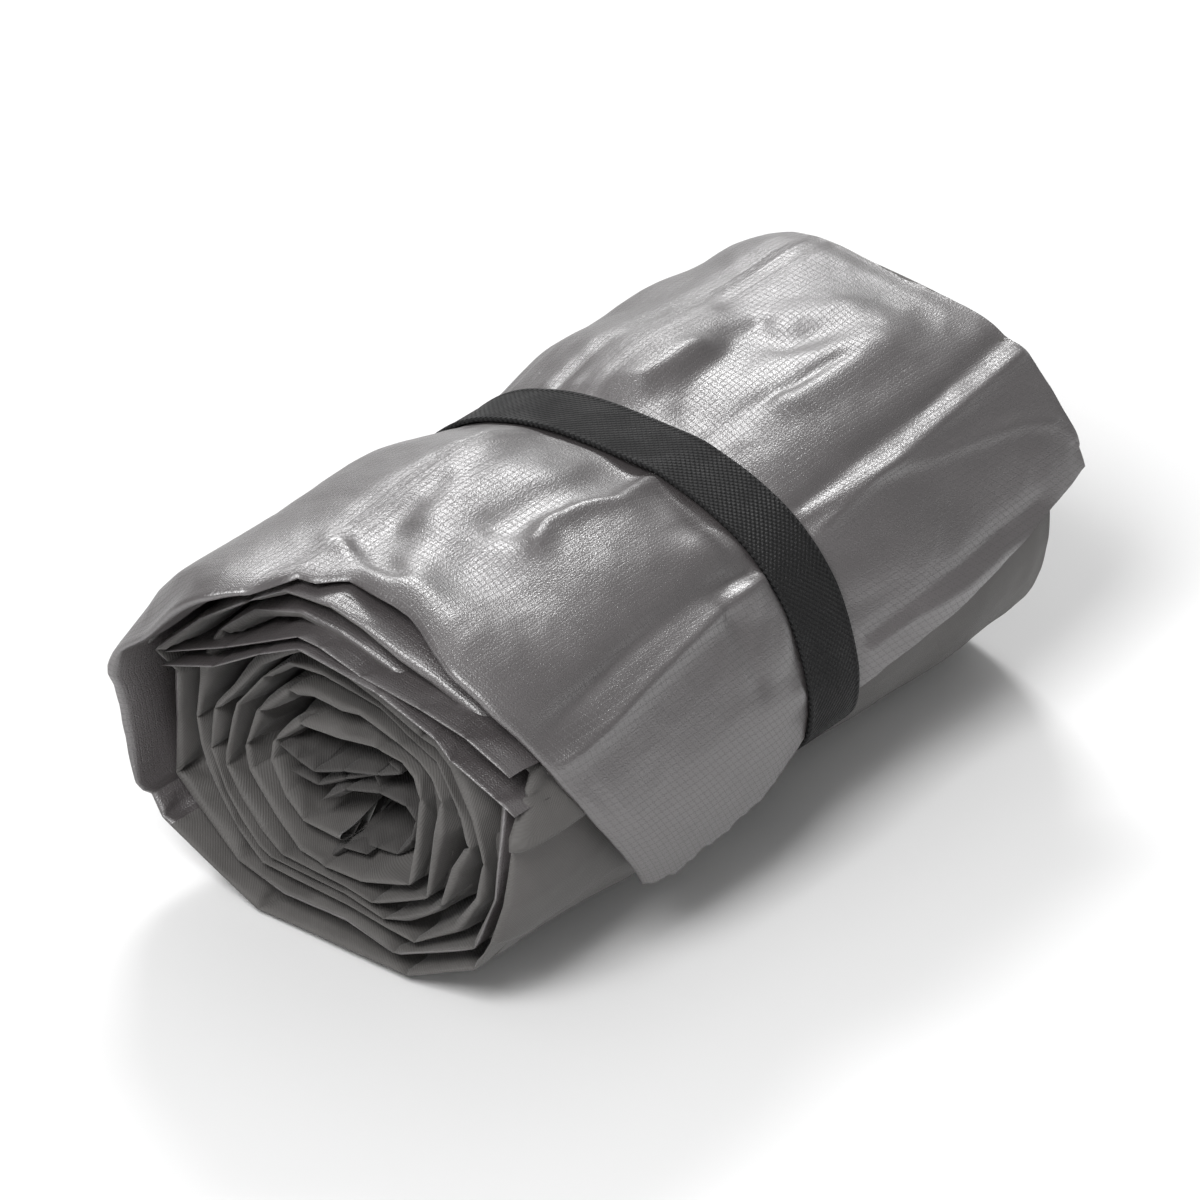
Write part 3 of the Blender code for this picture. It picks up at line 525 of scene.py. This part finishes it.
def relief(x, s):
    """How far the outer turn's cloth stands off its smooth shape at x and a length along the mat."""
    p = np.stack([x, s], -1)
    swell = 0.0012 * waves(p, 0.085, 3) + 0.0004 * waves(p, 0.038, 4)
    worn = creases(x, s, seed=7, count=36, length=(0.03, 0.07), width=(0.0030, 0.0070),
                   height=(0.0001, 0.0005), region=WORN_REGION)
    calm = hump(x - CALM_AT[0], CALM_HALF[0]) * hump(s - along(CALM_AT[1]), CALM_HALF[1])
    worn = worn * (1 - 0.95 * calm)
    fine = 0.00012 * (1 - np.abs(waves(p, 0.021, 5)) * 1.6) + 0.00005 * waves(p, 0.009, 6)
    under = np.exp(-((np.abs(x - STRAP_AT) / (STRAP_WIDTH * 0.62)) ** 6))
    total = (swell + worn + fine + strokes(x, s)) * (1 - 0.8 * under) + strap_gathers(x, s)
    total = np.where(total < 0, -VALLEY_LIMIT * np.tanh(-total / VALLEY_LIMIT), total)
    edge = smooth((s - 0.002) / 0.02)
    return total * (0.35 + 0.65 * edge)


def corner_facet(x, angle):
    """The small three-cornered fold that stands out below the second turn's front corner."""
    down = (FACET_FROM - angle) / FACET_ANGLES
    aside = (x - FACET_AT) / FACET_WIDE
    inside = smooth((down - aside) / 0.2 + 0.5) * (1 - smooth((down - 1) / 0.14)) * np.clip(down, 0, 1)
    return FACET * inside * (angle > 360)


def leaf(near_angles, shares, side, sheet_depth, detail):
    """The grid of one leaf over a run of rings: its points and its cloth coordinates."""
    near_angles, shares = np.meshgrid(near_angles, shares, indexing="ij")
    angle = ring_angle(near_angles, shares)
    far = edge_x(near_angles) - (LEAF_STAGGER if side < 0 else 0.0)
    edge = rim(near_angles)
    distance = shares * (far - edge[..., 0])
    depth = leaf_depth(side, (1 - shares) * (far - edge[..., 0]), sheet_depth)
    points = folded(angle, shares, side, far, depth)
    x = points[..., 0]
    s = along(angle)
    if detail and side > 0:
        n = normals(points)
        outer = smooth((SECOND_TURN - angle) / 30)
        fade = smooth(distance / 0.012)
        points = points + n * (relief(x, s) * outer * mix(0.35, 1.0, fade))[..., None]
        points = points + n * corner_facet(x, angle)[..., None]
    rough = 0.0005 * waves(np.stack([x, s], -1), 0.022, 11 + side) * smooth((angle - SECOND_TURN) / 30)
    points = points + outward(angle) * (rough * smooth(distance / 0.003))[..., None]
    points = seat_valve(points, depth + SEAT_GAP + inset(angle) - inset(VALVE_ANGLE))
    points[..., 2] = np.maximum(points[..., 2], FLOOR_CLEARANCE)
    return points, np.stack([HALF_WIDTH - side * distance, s], -1)


def rings(start, stop, step):
    """Ring angles with even steps and one ring at every corner of the rims."""
    even = np.arange(start, stop, step)
    corners = RIM_ANGLES[(RIM_ANGLES > start) & (RIM_ANGLES < stop) & (RIM_ANGLES > FLAP_TO)]
    pinches = np.array(PINCHES, float)
    corners = np.concatenate([corners, pinches[(pinches > start) & (pinches < stop)]])
    clear = np.abs(even[:, None] - corners[None, :]).min(1, initial=360.0) > 0.3 * step
    return np.unique(np.concatenate([[start], even[clear], corners, [stop]]))


def folded_sheet(name, ring_angles, outer_shares, inner_shares, depths=(0.0, STACK), detail=True):
    """Both leaves of the folded mat over a run of rings as one sheet; also gives its points."""
    outer, outer_uv = leaf(ring_angles, outer_shares, 1, depths[0], detail)
    inner, inner_uv = leaf(ring_angles, inner_shares, -1, depths[1], detail)
    points = np.concatenate([outer[:, ::-1], inner[:, 1:]], 1)
    uv = np.concatenate([outer_uv[:, ::-1], inner_uv[:, 1:]], 1)
    return grid_object(name, points, uv), points


NEAR_STEPS = (0, 0.35, 0.8, 1.5, 2.5, 3.8, 5.3, 7, 9)
DEEP_STEPS = NEAR_STEPS + (12, 16, 21, 28, 38, 52, 70, 100, 140, 185, 225, 250, 262, 268, 272, 276)

DEEP, SPARSE, STRIP = columns(DEEP_STEPS, 0.004), columns((7, 12, 20), 0.012), columns((14, 20), 0.012)
TURN_RINGS = rings(PANEL_TO, LAST_ANGLE, 2.2)

wrap, wrap_points = folded_sheet(
    "outer_wrap", rings(FREE_NEAR, PANEL_FROM, 1.05), columns(NEAR_STEPS, 0.0017), DEEP)
panel, panel_points = folded_sheet(
    "lower_panel", rings(PANEL_FROM, PANEL_TO, 1.3), columns(NEAR_STEPS, 0.0022), DEEP)
turns, _ = folded_sheet("inner_turns", TURN_RINGS, DEEP, DEEP)
lining, _ = folded_sheet(
    "lining_sheet", rings(FREE_NEAR + 1.5, LAST_ANGLE - 2, 5.0), SPARSE, SPARSE, LINING_DEPTHS, detail=False)


def loose_fold(name, rim_x, corners, deep, wide, draw):
    """A loose fold: two leaves that part behind a rim of straight stretches.

    They grow apart by `wide` to each side and draw towards the rim's middle by the share `draw`."""
    corners = np.array(corners, float) / 1000
    run = lengths(corners)
    at = np.unique(np.concatenate([np.arange(0, run[-1], 0.0009), run]))
    line = np.stack([np.interp(at, run, corners[:, i]) for i in range(2)], 1)
    ahead = np.gradient(line, axis=0)
    ahead /= np.linalg.norm(ahead, axis=1, keepdims=True)
    across = np.stack([-ahead[:, 1], ahead[:, 0]], 1)
    back = deep * np.array([0, 0.007, 0.018, 0.036, 0.062, 0.1, 0.155, 0.22, 0.31, 0.44, 0.66, 1])
    off_corner = np.abs(at[:, None] - run[None, :]).min(1)
    notch = np.clip(1 - off_corner[:, None] / (0.0004 + 0.7 * back[None, :]), 0, 1)
    pocket = 1 - 0.8 * notch * (1 - smooth((back - 0.006) / 0.008))
    ends = np.clip(np.minimum(at, run[-1] - at) / 0.004, 0.15, 1)[:, None]
    nose = 0.0004 * np.sqrt(np.clip(back / 0.0008, 0, 1))
    half = (nose + wide * (1 - np.exp(-back / OPEN_LENGTH))) * pocket * ends
    wave = 0.0008 * waves(np.stack(np.meshgrid(at, back, indexing="ij"), -1), 0.016, 21) * smooth(back / 0.01)
    base = line[:, None] + (line.mean(0) - line[:, None]) * (draw * smooth(back / deep))[None, :, None]
    leaves = [base + across[:, None] * (side * half + wave)[..., None] for side in (1, -1)]
    yz = np.concatenate([leaves[0][:, ::-1], leaves[1][:, 1:]], 1)
    x = np.broadcast_to(rim_x / 1000 + np.concatenate([back[::-1], back[1:]]), yz.shape[:2])
    uv = np.stack(np.broadcast_arrays(np.concatenate([-back[::-1], back[1:]]), at[:, None]), -1)
    piece = grid_object(name, np.concatenate([x[..., None], yz], -1), uv)
    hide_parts("bottom_sheet")
    return piece


core_folds = [loose_fold(f"core_fold_{i + 1}", *fold, deep=0.045, wide=0.0034, draw=0.25)
              for i, fold in enumerate(CORE_FOLDS)]
pleats = [loose_fold(f"loose_pleat_{i + 1}", *fold, deep=0.030, wide=0.0009, draw=-0.03)
          for i, fold in enumerate(LOOSE_PLEATS)]

SHEETS = [(wrap, "shell_cloth"), (panel, "inner_cloth"), (turns, "inner_cloth"), (lining, "inner_cloth")]
baffles = []
for i in range(BAFFLE_COUNT):
    middle = 90 + 180 * i
    half = math.degrees(BAFFLE_HALF / (HALF_FLAT * EASE / math.tanh(EASE) + ROLL_RADIUS - inset(middle)))
    reach = np.linspace(middle - half, min(middle + half, LAST_ANGLE - 3), 7)
    strip, _ = folded_sheet(f"baffle_{i + 1:02d}", reach, STRIP, STRIP, BAFFLE_DEPTHS, detail=False)
    baffles.append(strip)
    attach(strip, "mat")
    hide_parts(f"cross_baffle_{i + 1:02d}")

SHEETS += [(piece, "inner_cloth") for piece in core_folds] + [(piece, "shell_cloth") for piece in pleats]
for piece, name in SHEETS:
    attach(piece, "mat")
for piece in (wrap, panel, turns):
    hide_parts("bottom_sheet")
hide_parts("top_sheet")


# ---- the elastic strap ----
STRAP_STEPS, LAP_START = 360, 0.98  # rings round the roll, and the overlap's start as a share of them
STRAP_OFF, STRAP_LOWEST = 0.00045, 0.0003  # clear of the cloth, and of the floor
THREAD_RADIUS, ZIG, ZIG_CORNERS, ZIG_MARGIN = 0.00022, 0.0009, 45, 0.003


def strap_line():
    """The tight line round the roll under the strap: for every direction the furthest point there."""
    parts = (wrap_points, 80), (panel_points, 60)
    flat = np.concatenate([grid[:, :grid.shape[1] // 2 + more].reshape(-1, 3) for grid, more in parts])
    flat = flat[np.abs(flat[:, 0] - STRAP_AT) < STRAP_WIDTH / 2]
    middle = np.array([0.0, BASE * GIRTH[2]])
    rel = flat[:, 1:] - middle
    ways = np.linspace(0, 2 * math.pi, 1440, endpoint=False)
    order = (rel @ np.stack([np.cos(ways), np.sin(ways)])).argmax(0)
    kept = order[np.concatenate([[True], np.diff(order) != 0])]
    hull = rel[np.append(kept, kept[0])]
    run = lengths(hull)
    at = np.linspace(0, run[-1], STRAP_STEPS, endpoint=False)
    line = np.stack([np.interp(at, run, hull[:, i]) for i in range(2)], 1)
    weights = np.exp(-0.5 * (np.arange(-6, 7) / 2.2) ** 2)
    weights /= weights.sum()
    eased = sum(w * np.roll(line, k, axis=0) for w, k in zip(weights, range(-6, 7)))
    tangent = np.roll(eased, -1, axis=0) - np.roll(eased, 1, axis=0)
    tangent /= np.linalg.norm(tangent, axis=1, keepdims=True)
    n = np.stack([tangent[:, 1], -tangent[:, 0]], 1)
    eased = eased + n * STRAP_OFF + middle
    eased[:, 1] = np.maximum(eased[:, 1], STRAP_LOWEST)
    return eased, n, run[-1]


def build_strap():
    """The strap: its section swept along the tight line, with the overlap on top of its start."""
    line, n, length = strap_line()
    start = int(STRAP_STEPS * LAP_START)
    line, n = np.roll(line, -start, axis=0), np.roll(n, -start, axis=0)
    lap = int(round(STRAP_STEPS * STRAP_OVERLAP / length))
    ring = np.arange(STRAP_STEPS + lap)
    path, out = line[ring % STRAP_STEPS], n[ring % STRAP_STEPS]
    rise = smooth((ring - (STRAP_STEPS - 5)) / 5.0) * (STRAP_THICKNESS + 0.0002)
    path = path + out * rise[:, None]
    half, thick, soft, bound = STRAP_WIDTH / 2, STRAP_THICKNESS, 0.0004, 0.00025
    profile = np.array(
        [(-half + soft, 0), (-half, soft), (-half, thick - soft), (-half + soft, thick + bound),
         (-half + 0.0014, thick + bound)]
        + [(x, thick) for x in np.linspace(-half + 0.0019, half - 0.0019, 21)]
        + [(half - 0.0014, thick + bound), (half - soft, thick + bound),
           (half, thick - soft), (half, soft), (half - soft, 0)]
        + [(x, 0) for x in np.linspace(half - 0.002, -half + 0.002, 9)])
    s = np.linspace(0, length + STRAP_OVERLAP, len(path))
    sway = 0.0006 * np.sin(s / 0.05) + 0.0004 * np.sin(s / 0.019 + 1)
    x = STRAP_AT + profile[None, :, 0] + sway[:, None]
    yz = path[:, None] + out[:, None] * profile[None, :, 1:]
    points = np.concatenate([x[..., None], yz], -1)
    u = lengths(profile)
    uv = np.stack(np.broadcast_arrays(u[None, :], s[:, None]), -1)
    uv = np.concatenate([uv, uv[:, :1] + [u[-1] + 0.002, 0]], 1)
    band = grid_object("webbing_strap", points, uv, tube=True)
    return band, path, out, s, length


strap, strap_path, strap_out, strap_run, strap_length = build_strap()
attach(strap, "mat")
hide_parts("elastic_strap")


def build_tack(name, at):
    """A zigzag bar tack across the strap: a thread of round section along a saw line."""
    zig = np.arange(ZIG_CORNERS)
    across = np.linspace(-STRAP_WIDTH / 2 + ZIG_MARGIN, STRAP_WIDTH / 2 - ZIG_MARGIN, len(zig))
    s = at + ZIG * (zig % 2 * 2 - 1)
    fine = np.linspace(0, len(zig) - 1, len(zig) * 3)
    across, s = np.interp(fine, zig, across), np.interp(fine, zig, s)
    foot = np.stack([np.interp(s, strap_run, strap_path[:, i]) for i in range(2)], 1)
    out = np.stack([np.interp(s, strap_run, strap_out[:, i]) for i in range(2)], 1)
    centre = np.concatenate([(STRAP_AT + across)[:, None], foot + out * (STRAP_THICKNESS + 0.00008)], 1)
    ahead = np.gradient(centre, axis=0)
    ahead /= np.linalg.norm(ahead, axis=1, keepdims=True)
    up = np.concatenate([np.zeros((len(out), 1)), out], 1)
    aside = np.cross(ahead, up)
    turn = np.linspace(0, 2 * math.pi, 9)[None, :-1, None]
    points = centre[:, None] + THREAD_RADIUS * (np.cos(turn) * up[:, None] + np.sin(turn) * aside[:, None])
    u = np.arange(9) * 0.00017
    uv = np.stack(np.broadcast_arrays(u[None, :], (fine * ZIG)[:, None]), -1)
    return grid_object(name, points, uv, tube=True)


tacks = []
for i, at in enumerate((strap_length + 0.004, strap_length + STRAP_OVERLAP - 0.004)):
    tack = build_tack(f"bar_tack_{i + 1}", at)
    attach(tack, "mat")
    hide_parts(f"strap_stitch_{i + 1}")
    tacks.append(tack)


# ---- materials ----
GRID_PITCH, DASH_PITCH, WEAVE_PITCH = 1 / 430, 1 / 1100, 0.00062
RIB_PITCH, CROSS_PITCH, CORD_PITCH = 0.0011, 0.0006, 0.0021


def group(name, outputs):
    tree = bpy.data.node_groups.new(name, "ShaderNodeTree")
    for label in outputs:
        tree.interface.new_socket(name=label, in_out="OUTPUT", socket_type="NodeSocketFloat")
    return tree


def closed(tree, *values):
    """Closes an effect with its outputs' values."""
    out = tree.nodes.new("NodeGroupOutput")
    for socket, value in zip(out.inputs, values):
        tree.links.new(value, socket)
    return tree


def add(tree, kind, **values):
    node = tree.nodes.new(kind)
    for key, value in values.items():
        setattr(node, key, value)
    return node


def math_node(tree, operation, *values):
    node = add(tree, "ShaderNodeMath", operation=operation)
    for socket, value in zip(node.inputs, values):
        if isinstance(value, (int, float)):
            socket.default_value = value
        else:
            tree.links.new(value, socket)
    return node.outputs[0]


def plus(tree, a, b):
    return math_node(tree, "ADD", a, b)


def times(tree, a, b):
    return math_node(tree, "MULTIPLY", a, b)


def ripple(tree, value, pitch):
    """A sine along a coordinate."""
    return math_node(tree, "SINE", times(tree, value, 2 * math.pi / pitch))


def near_line(tree, value, pitch):
    """A coordinate's distance from the nearest of even lines, as a share of their pitch."""
    return math_node(tree, "PINGPONG", times(tree, value, 1 / pitch), 0.5)


def ranged(tree, value, low, high, to_low=0.0, to_high=1.0):
    """An eased step between two numbers while the value goes from low to high."""
    node = add(tree, "ShaderNodeMapRange", interpolation_type="SMOOTHSTEP")
    tree.links.new(value, node.inputs[0])
    for i, v in zip((1, 2, 3, 4), (low, high, to_low, to_high)):
        node.inputs[i].default_value = v
    return node.outputs[0]


def cloth_axes(tree):
    """The cloth's own coordinates in metres: together, across the mat and along it."""
    uv = add(tree, "ShaderNodeUVMap", uv_map="cloth")
    split = tree.nodes.new("ShaderNodeSeparateXYZ")
    tree.links.new(uv.outputs[0], split.inputs[0])
    return uv.outputs[0], split.outputs[0], split.outputs[1]


def noise(tree, vector, scale, detail):
    node = add(tree, "ShaderNodeTexNoise")
    node.inputs["Scale"].default_value = scale
    node.inputs["Detail"].default_value = detail
    node.inputs["Roughness"].default_value = 0.55
    tree.links.new(vector, node.inputs["Vector"])
    return node.outputs[0]


def ripstop_group():
    """A fine plain weave with a grid every 2.3 mm, seen as darker, sunken dashes."""
    tree = group("ripstop", ("Grid", "Height", "Cloud"))
    uv, u, v = cloth_axes(tree)
    lines = []
    for a, b in ((u, v), (v, u)):
        line = ranged(tree, near_line(tree, a, GRID_PITCH), 0.05, 0.15, 1.0, 0.0)
        dash = ranged(tree, near_line(tree, b, DASH_PITCH), 0.12, 0.30)
        lines.append(times(tree, line, dash))
    grid = math_node(tree, "MAXIMUM", *lines)
    weave = times(tree, ripple(tree, u, WEAVE_PITCH), ripple(tree, v, WEAVE_PITCH))
    height = plus(tree, times(tree, grid, -0.30), times(tree, weave, 0.12))
    height = plus(tree, height, times(tree, noise(tree, uv, 1400.0, 2.0), 1.3))
    return closed(tree, grid, height, noise(tree, uv, 26.0, 4.0))


def twill_group():
    """A fine diagonal twill, about 0.8 mm from rib to rib."""
    tree = group("twill", ("Rib", "Height", "Cloud"))
    uv, u, v = cloth_axes(tree)
    rib = ripple(tree, plus(tree, u, v), RIB_PITCH)
    cross = ripple(tree, v, CROSS_PITCH)
    height = plus(tree, times(tree, rib, 0.35), times(tree, cross, 0.12))
    height = plus(tree, height, times(tree, noise(tree, uv, 1300.0, 2.0), 0.6))
    return closed(tree, rib, height, noise(tree, uv, 34.0, 4.0))


def webbing_group():
    """Elastic webbing: cords along the strap crossed by staggered picks, both 2.1 mm apart."""
    tree = group("webbing", ("Rib", "Height", "Cloud"))
    uv, u, v = cloth_axes(tree)
    check = times(tree, ripple(tree, u, CORD_PITCH), ripple(tree, v, CORD_PITCH))
    rows = math_node(tree, "ABSOLUTE", ripple(tree, v, CORD_PITCH))
    height = plus(tree, times(tree, check, 0.6), times(tree, rows, 0.25))
    height = plus(tree, height, times(tree, noise(tree, uv, 1500.0, 2.0), 0.5))
    return closed(tree, check, height, noise(tree, uv, 60.0, 3.0))


RIPSTOP, TWILL, WEBBING = ripstop_group(), twill_group(), webbing_group()


def base_finish(name, dark, light, stops=(0.0, 1.0)):
    """A material whose colour runs from dark to light: with its tree, shader and the colour's input."""
    material = bpy.data.materials.new(name)
    material.use_nodes = True
    tree = material.node_tree
    shader = tree.nodes["Principled BSDF"]
    ramp = add(tree, "ShaderNodeValToRGB")
    for element, stop, colour in zip(ramp.color_ramp.elements, stops, (dark, light)):
        element.position, element.color = stop, (*colour, 1)
    tree.links.new(ramp.outputs[0], shader.inputs["Base Color"])
    return material, tree, shader, ramp.inputs[0]


def dented(tree, shader, height, strength, distance):
    node = add(tree, "ShaderNodeBump")
    node.inputs["Strength"].default_value = strength
    node.inputs["Distance"].default_value = distance
    tree.links.new(height, node.inputs["Height"])
    tree.links.new(node.outputs[0], shader.inputs["Normal"])


def finish_cloth(name, effect, dark, light, roughness, sheen, bump, mark, specular=0.5, ior=1.5, dull=0.0):
    """A cloth finish: colour and roughness wander with the cloud, the pattern marks and dents it."""
    material, tree, shader, colour = base_finish(name, dark, light, (0.3, 0.7))
    pattern = add(tree, "ShaderNodeGroup", node_tree=effect)
    shade = plus(tree, pattern.outputs[2], times(tree, pattern.outputs[0], mark))
    tree.links.new(shade, colour)
    rough = ranged(tree, pattern.outputs[2], 0.3, 0.7, *roughness)
    rough = plus(tree, rough, times(tree, pattern.outputs[0], dull))
    tree.links.new(rough, shader.inputs["Roughness"])
    shader.inputs["Specular IOR Level"].default_value = specular
    shader.inputs["IOR"].default_value = ior
    shader.inputs["Sheen Weight"].default_value = sheen
    shader.inputs["Sheen Roughness"].default_value = 0.4
    dented(tree, shader, pattern.outputs[1], 1.0, bump)
    return material


def finish_plastic(name, dark, light, roughness):
    """Plastic, rubber or thread: clouded colour and roughness, and a fine grain."""
    material, tree, shader, colour = base_finish(name, dark, light)
    place = add(tree, "ShaderNodeTexCoord").outputs["Object"]
    cloud = noise(tree, place, 90.0, 4.0)
    tree.links.new(cloud, colour)
    tree.links.new(ranged(tree, cloud, 0.3, 0.7, *roughness), shader.inputs["Roughness"])
    dented(tree, shader, noise(tree, place, 2600.0, 2.0), 0.6, 0.00004)
    return material


shell = finish_cloth(
    "satin_ripstop", RIPSTOP, (0.062, 0.055, 0.056), (0.091, 0.081, 0.083), (0.33, 0.40),
    sheen=0.0, bump=0.00013, mark=-0.6, specular=1.0, ior=1.75, dull=0.2)
inner = finish_cloth(
    "matt_twill", TWILL, (0.078, 0.074, 0.071), (0.112, 0.107, 0.103), (0.62, 0.74),
    sheen=0.15, bump=0.00010, mark=0.06)
# The core folds in the eye get a darker copy of the matt twill: painted shade for the deep recess they sit in
core_fold_painted_shade = finish_cloth(
    "twill_painted_shade", TWILL, (0.046, 0.043, 0.042), (0.066, 0.063, 0.061), (0.7, 0.8),
    sheen=0.1, bump=0.00010, mark=0.06)
film = finish_cloth(
    "baffle_film", TWILL, (0.20, 0.20, 0.20), (0.26, 0.26, 0.25), (0.45, 0.55),
    sheen=0.0, bump=0.00005, mark=0.02)
webbing = finish_cloth(
    "elastic_webbing", WEBBING, (0.005, 0.005, 0.0055), (0.010, 0.010, 0.0105), (0.6, 0.8),
    sheen=0.0, bump=0.00045, mark=0.45, specular=0.35)
thread = finish_plastic("black_thread", (0.010, 0.010, 0.011), (0.018, 0.018, 0.019), (0.5, 0.65))
valve_grey = finish_plastic("valve_plastic", (0.018, 0.018, 0.019), (0.026, 0.026, 0.027), (0.38, 0.5))
cap_grey = finish_plastic("cap_plastic", (0.024, 0.024, 0.025), (0.034, 0.034, 0.035), (0.35, 0.46))
rubber = finish_plastic("membrane_rubber", (0.012, 0.012, 0.012), (0.018, 0.018, 0.018), (0.6, 0.75))

finishes = [(wrap, shell), (panel, inner), (turns, inner), (turns, shell), (lining, inner), (strap, webbing)]
finishes += [(piece, core_fold_painted_shade) for piece in core_folds] + [(piece, shell) for piece in pleats]
finishes += [(strip, film) for strip in baffles] + [(tack, thread) for tack in tacks]
for piece, material in finishes:
    piece.data.materials.append(material)
outer_leaf = np.arange(2 * len(DEEP) - 2) < len(DEEP) - 1
satin = outer_leaf[None, :] & (TURN_RINGS[:-1, None] < SATIN_TO)
turns.data.polygons.foreach_set("material_index", satin.astype(np.int32).ravel())
for node, material in [("valve_flange", valve_grey), ("valve_plug", valve_grey),
                       ("inflation_cap", cap_grey), ("one_way_membrane", rubber)]:
    mesh = frame["nodes"][node].data
    for i in range(len(mesh.materials)):
        mesh.materials[i] = material

# ---- floor, light and camera ----
FLOOR_HALF = 6.0
SKY_WAY = (0.610, 0.500, 0.614)  # towards the brightest part of the sky
SKY_RANGE = (0.81, 1.0, 0.34, 1.0)  # from which cosine to which, and from which strength to which
TARGET = SHIFT + np.array([0.0, 0.006, 0.056])
CAMERA_TURN, CAMERA_RISE, CAMERA_AWAY, CAMERA_LENS = -51, 31, 2.2, 205.9


def stage_material():
    material, tree, shader, colour = base_finish("pale_floor", (0.86, 0.86, 0.86), (0.89, 0.89, 0.89))
    place = add(tree, "ShaderNodeTexCoord").outputs["Object"]
    tree.links.new(noise(tree, place, 3.0, 2.0), colour)
    shader.inputs["Roughness"].default_value = 0.9
    return material


floor_mesh = bpy.data.meshes.new("floor")
floor_corners = [(x * FLOOR_HALF, y * FLOOR_HALF, 0) for x, y in ((-1, -1), (1, -1), (1, 1), (-1, 1))]
floor_mesh.from_pydata(floor_corners, [], [(0, 1, 2, 3)])
floor = bpy.data.objects.new("floor", floor_mesh)
floor.data.materials.append(stage_material())
bpy.context.scene.collection.objects.link(floor)

world = bpy.data.worlds.new("studio")
bpy.context.scene.world = world
world.use_nodes = True


def light_sky():
    """A soft studio: bright behind and above the object, darker on the camera's side."""
    tree = world.node_tree
    place = add(tree, "ShaderNodeTexCoord")
    dot = add(tree, "ShaderNodeVectorMath", operation="DOT_PRODUCT")
    tree.links.new(place.outputs["Generated"], dot.inputs[0])
    dot.inputs[1].default_value = SKY_WAY
    tree.links.new(ranged(tree, dot.outputs["Value"], *SKY_RANGE), tree.nodes["Background"].inputs[1])
    tree.nodes["Background"].inputs[0].default_value = (1.0, 1.0, 1.0, 1)


light_sky()


def soft_light(name, place, aim, size, power):
    """A rectangular lamp at a place, turned towards its aim, with its power in watts."""
    light = bpy.data.lights.new(name, "AREA")
    light.shape = "RECTANGLE"
    light.size, light.size_y = size
    light.energy = power
    lamp = bpy.data.objects.new(name, light)
    lamp.location = place
    lamp.rotation_mode = "QUATERNION"
    lamp.rotation_quaternion = (Vector(aim) - Vector(place)).to_track_quat("-Z", "Y")
    bpy.context.scene.collection.objects.link(lamp)


soft_light("behind", (1.35, 1.28, 1.5), (0, 0, 0.06), (0.6, 0.35), 27)
soft_light("overhead", (-1.4, -0.3, 1.75), (0, 0, 0.05), (0.9, 0.9), 38)
soft_light("front", (-1.7, -1.5, 1.3), (0, 0, 0.06), (0.8, 0.8), 3)

camera = bpy.data.cameras.new("camera")
camera.lens, camera.sensor_width = CAMERA_LENS, 36.0
camera.clip_start, camera.clip_end = 0.1, 50
eye = bpy.data.objects.new("camera", camera)
turn, rise = math.radians(CAMERA_TURN), math.radians(CAMERA_RISE)
back = Vector((math.sin(turn) * math.cos(rise), -math.cos(turn) * math.cos(rise), math.sin(rise)))
eye.location = Vector(TARGET) + back * CAMERA_AWAY
eye.rotation_mode = "QUATERNION"
eye.rotation_quaternion = (-back).to_track_quat("-Z", "Y")
bpy.context.scene.collection.objects.link(eye)
bpy.context.scene.camera = eye
bpy.context.scene.view_settings.view_transform = "Standard"
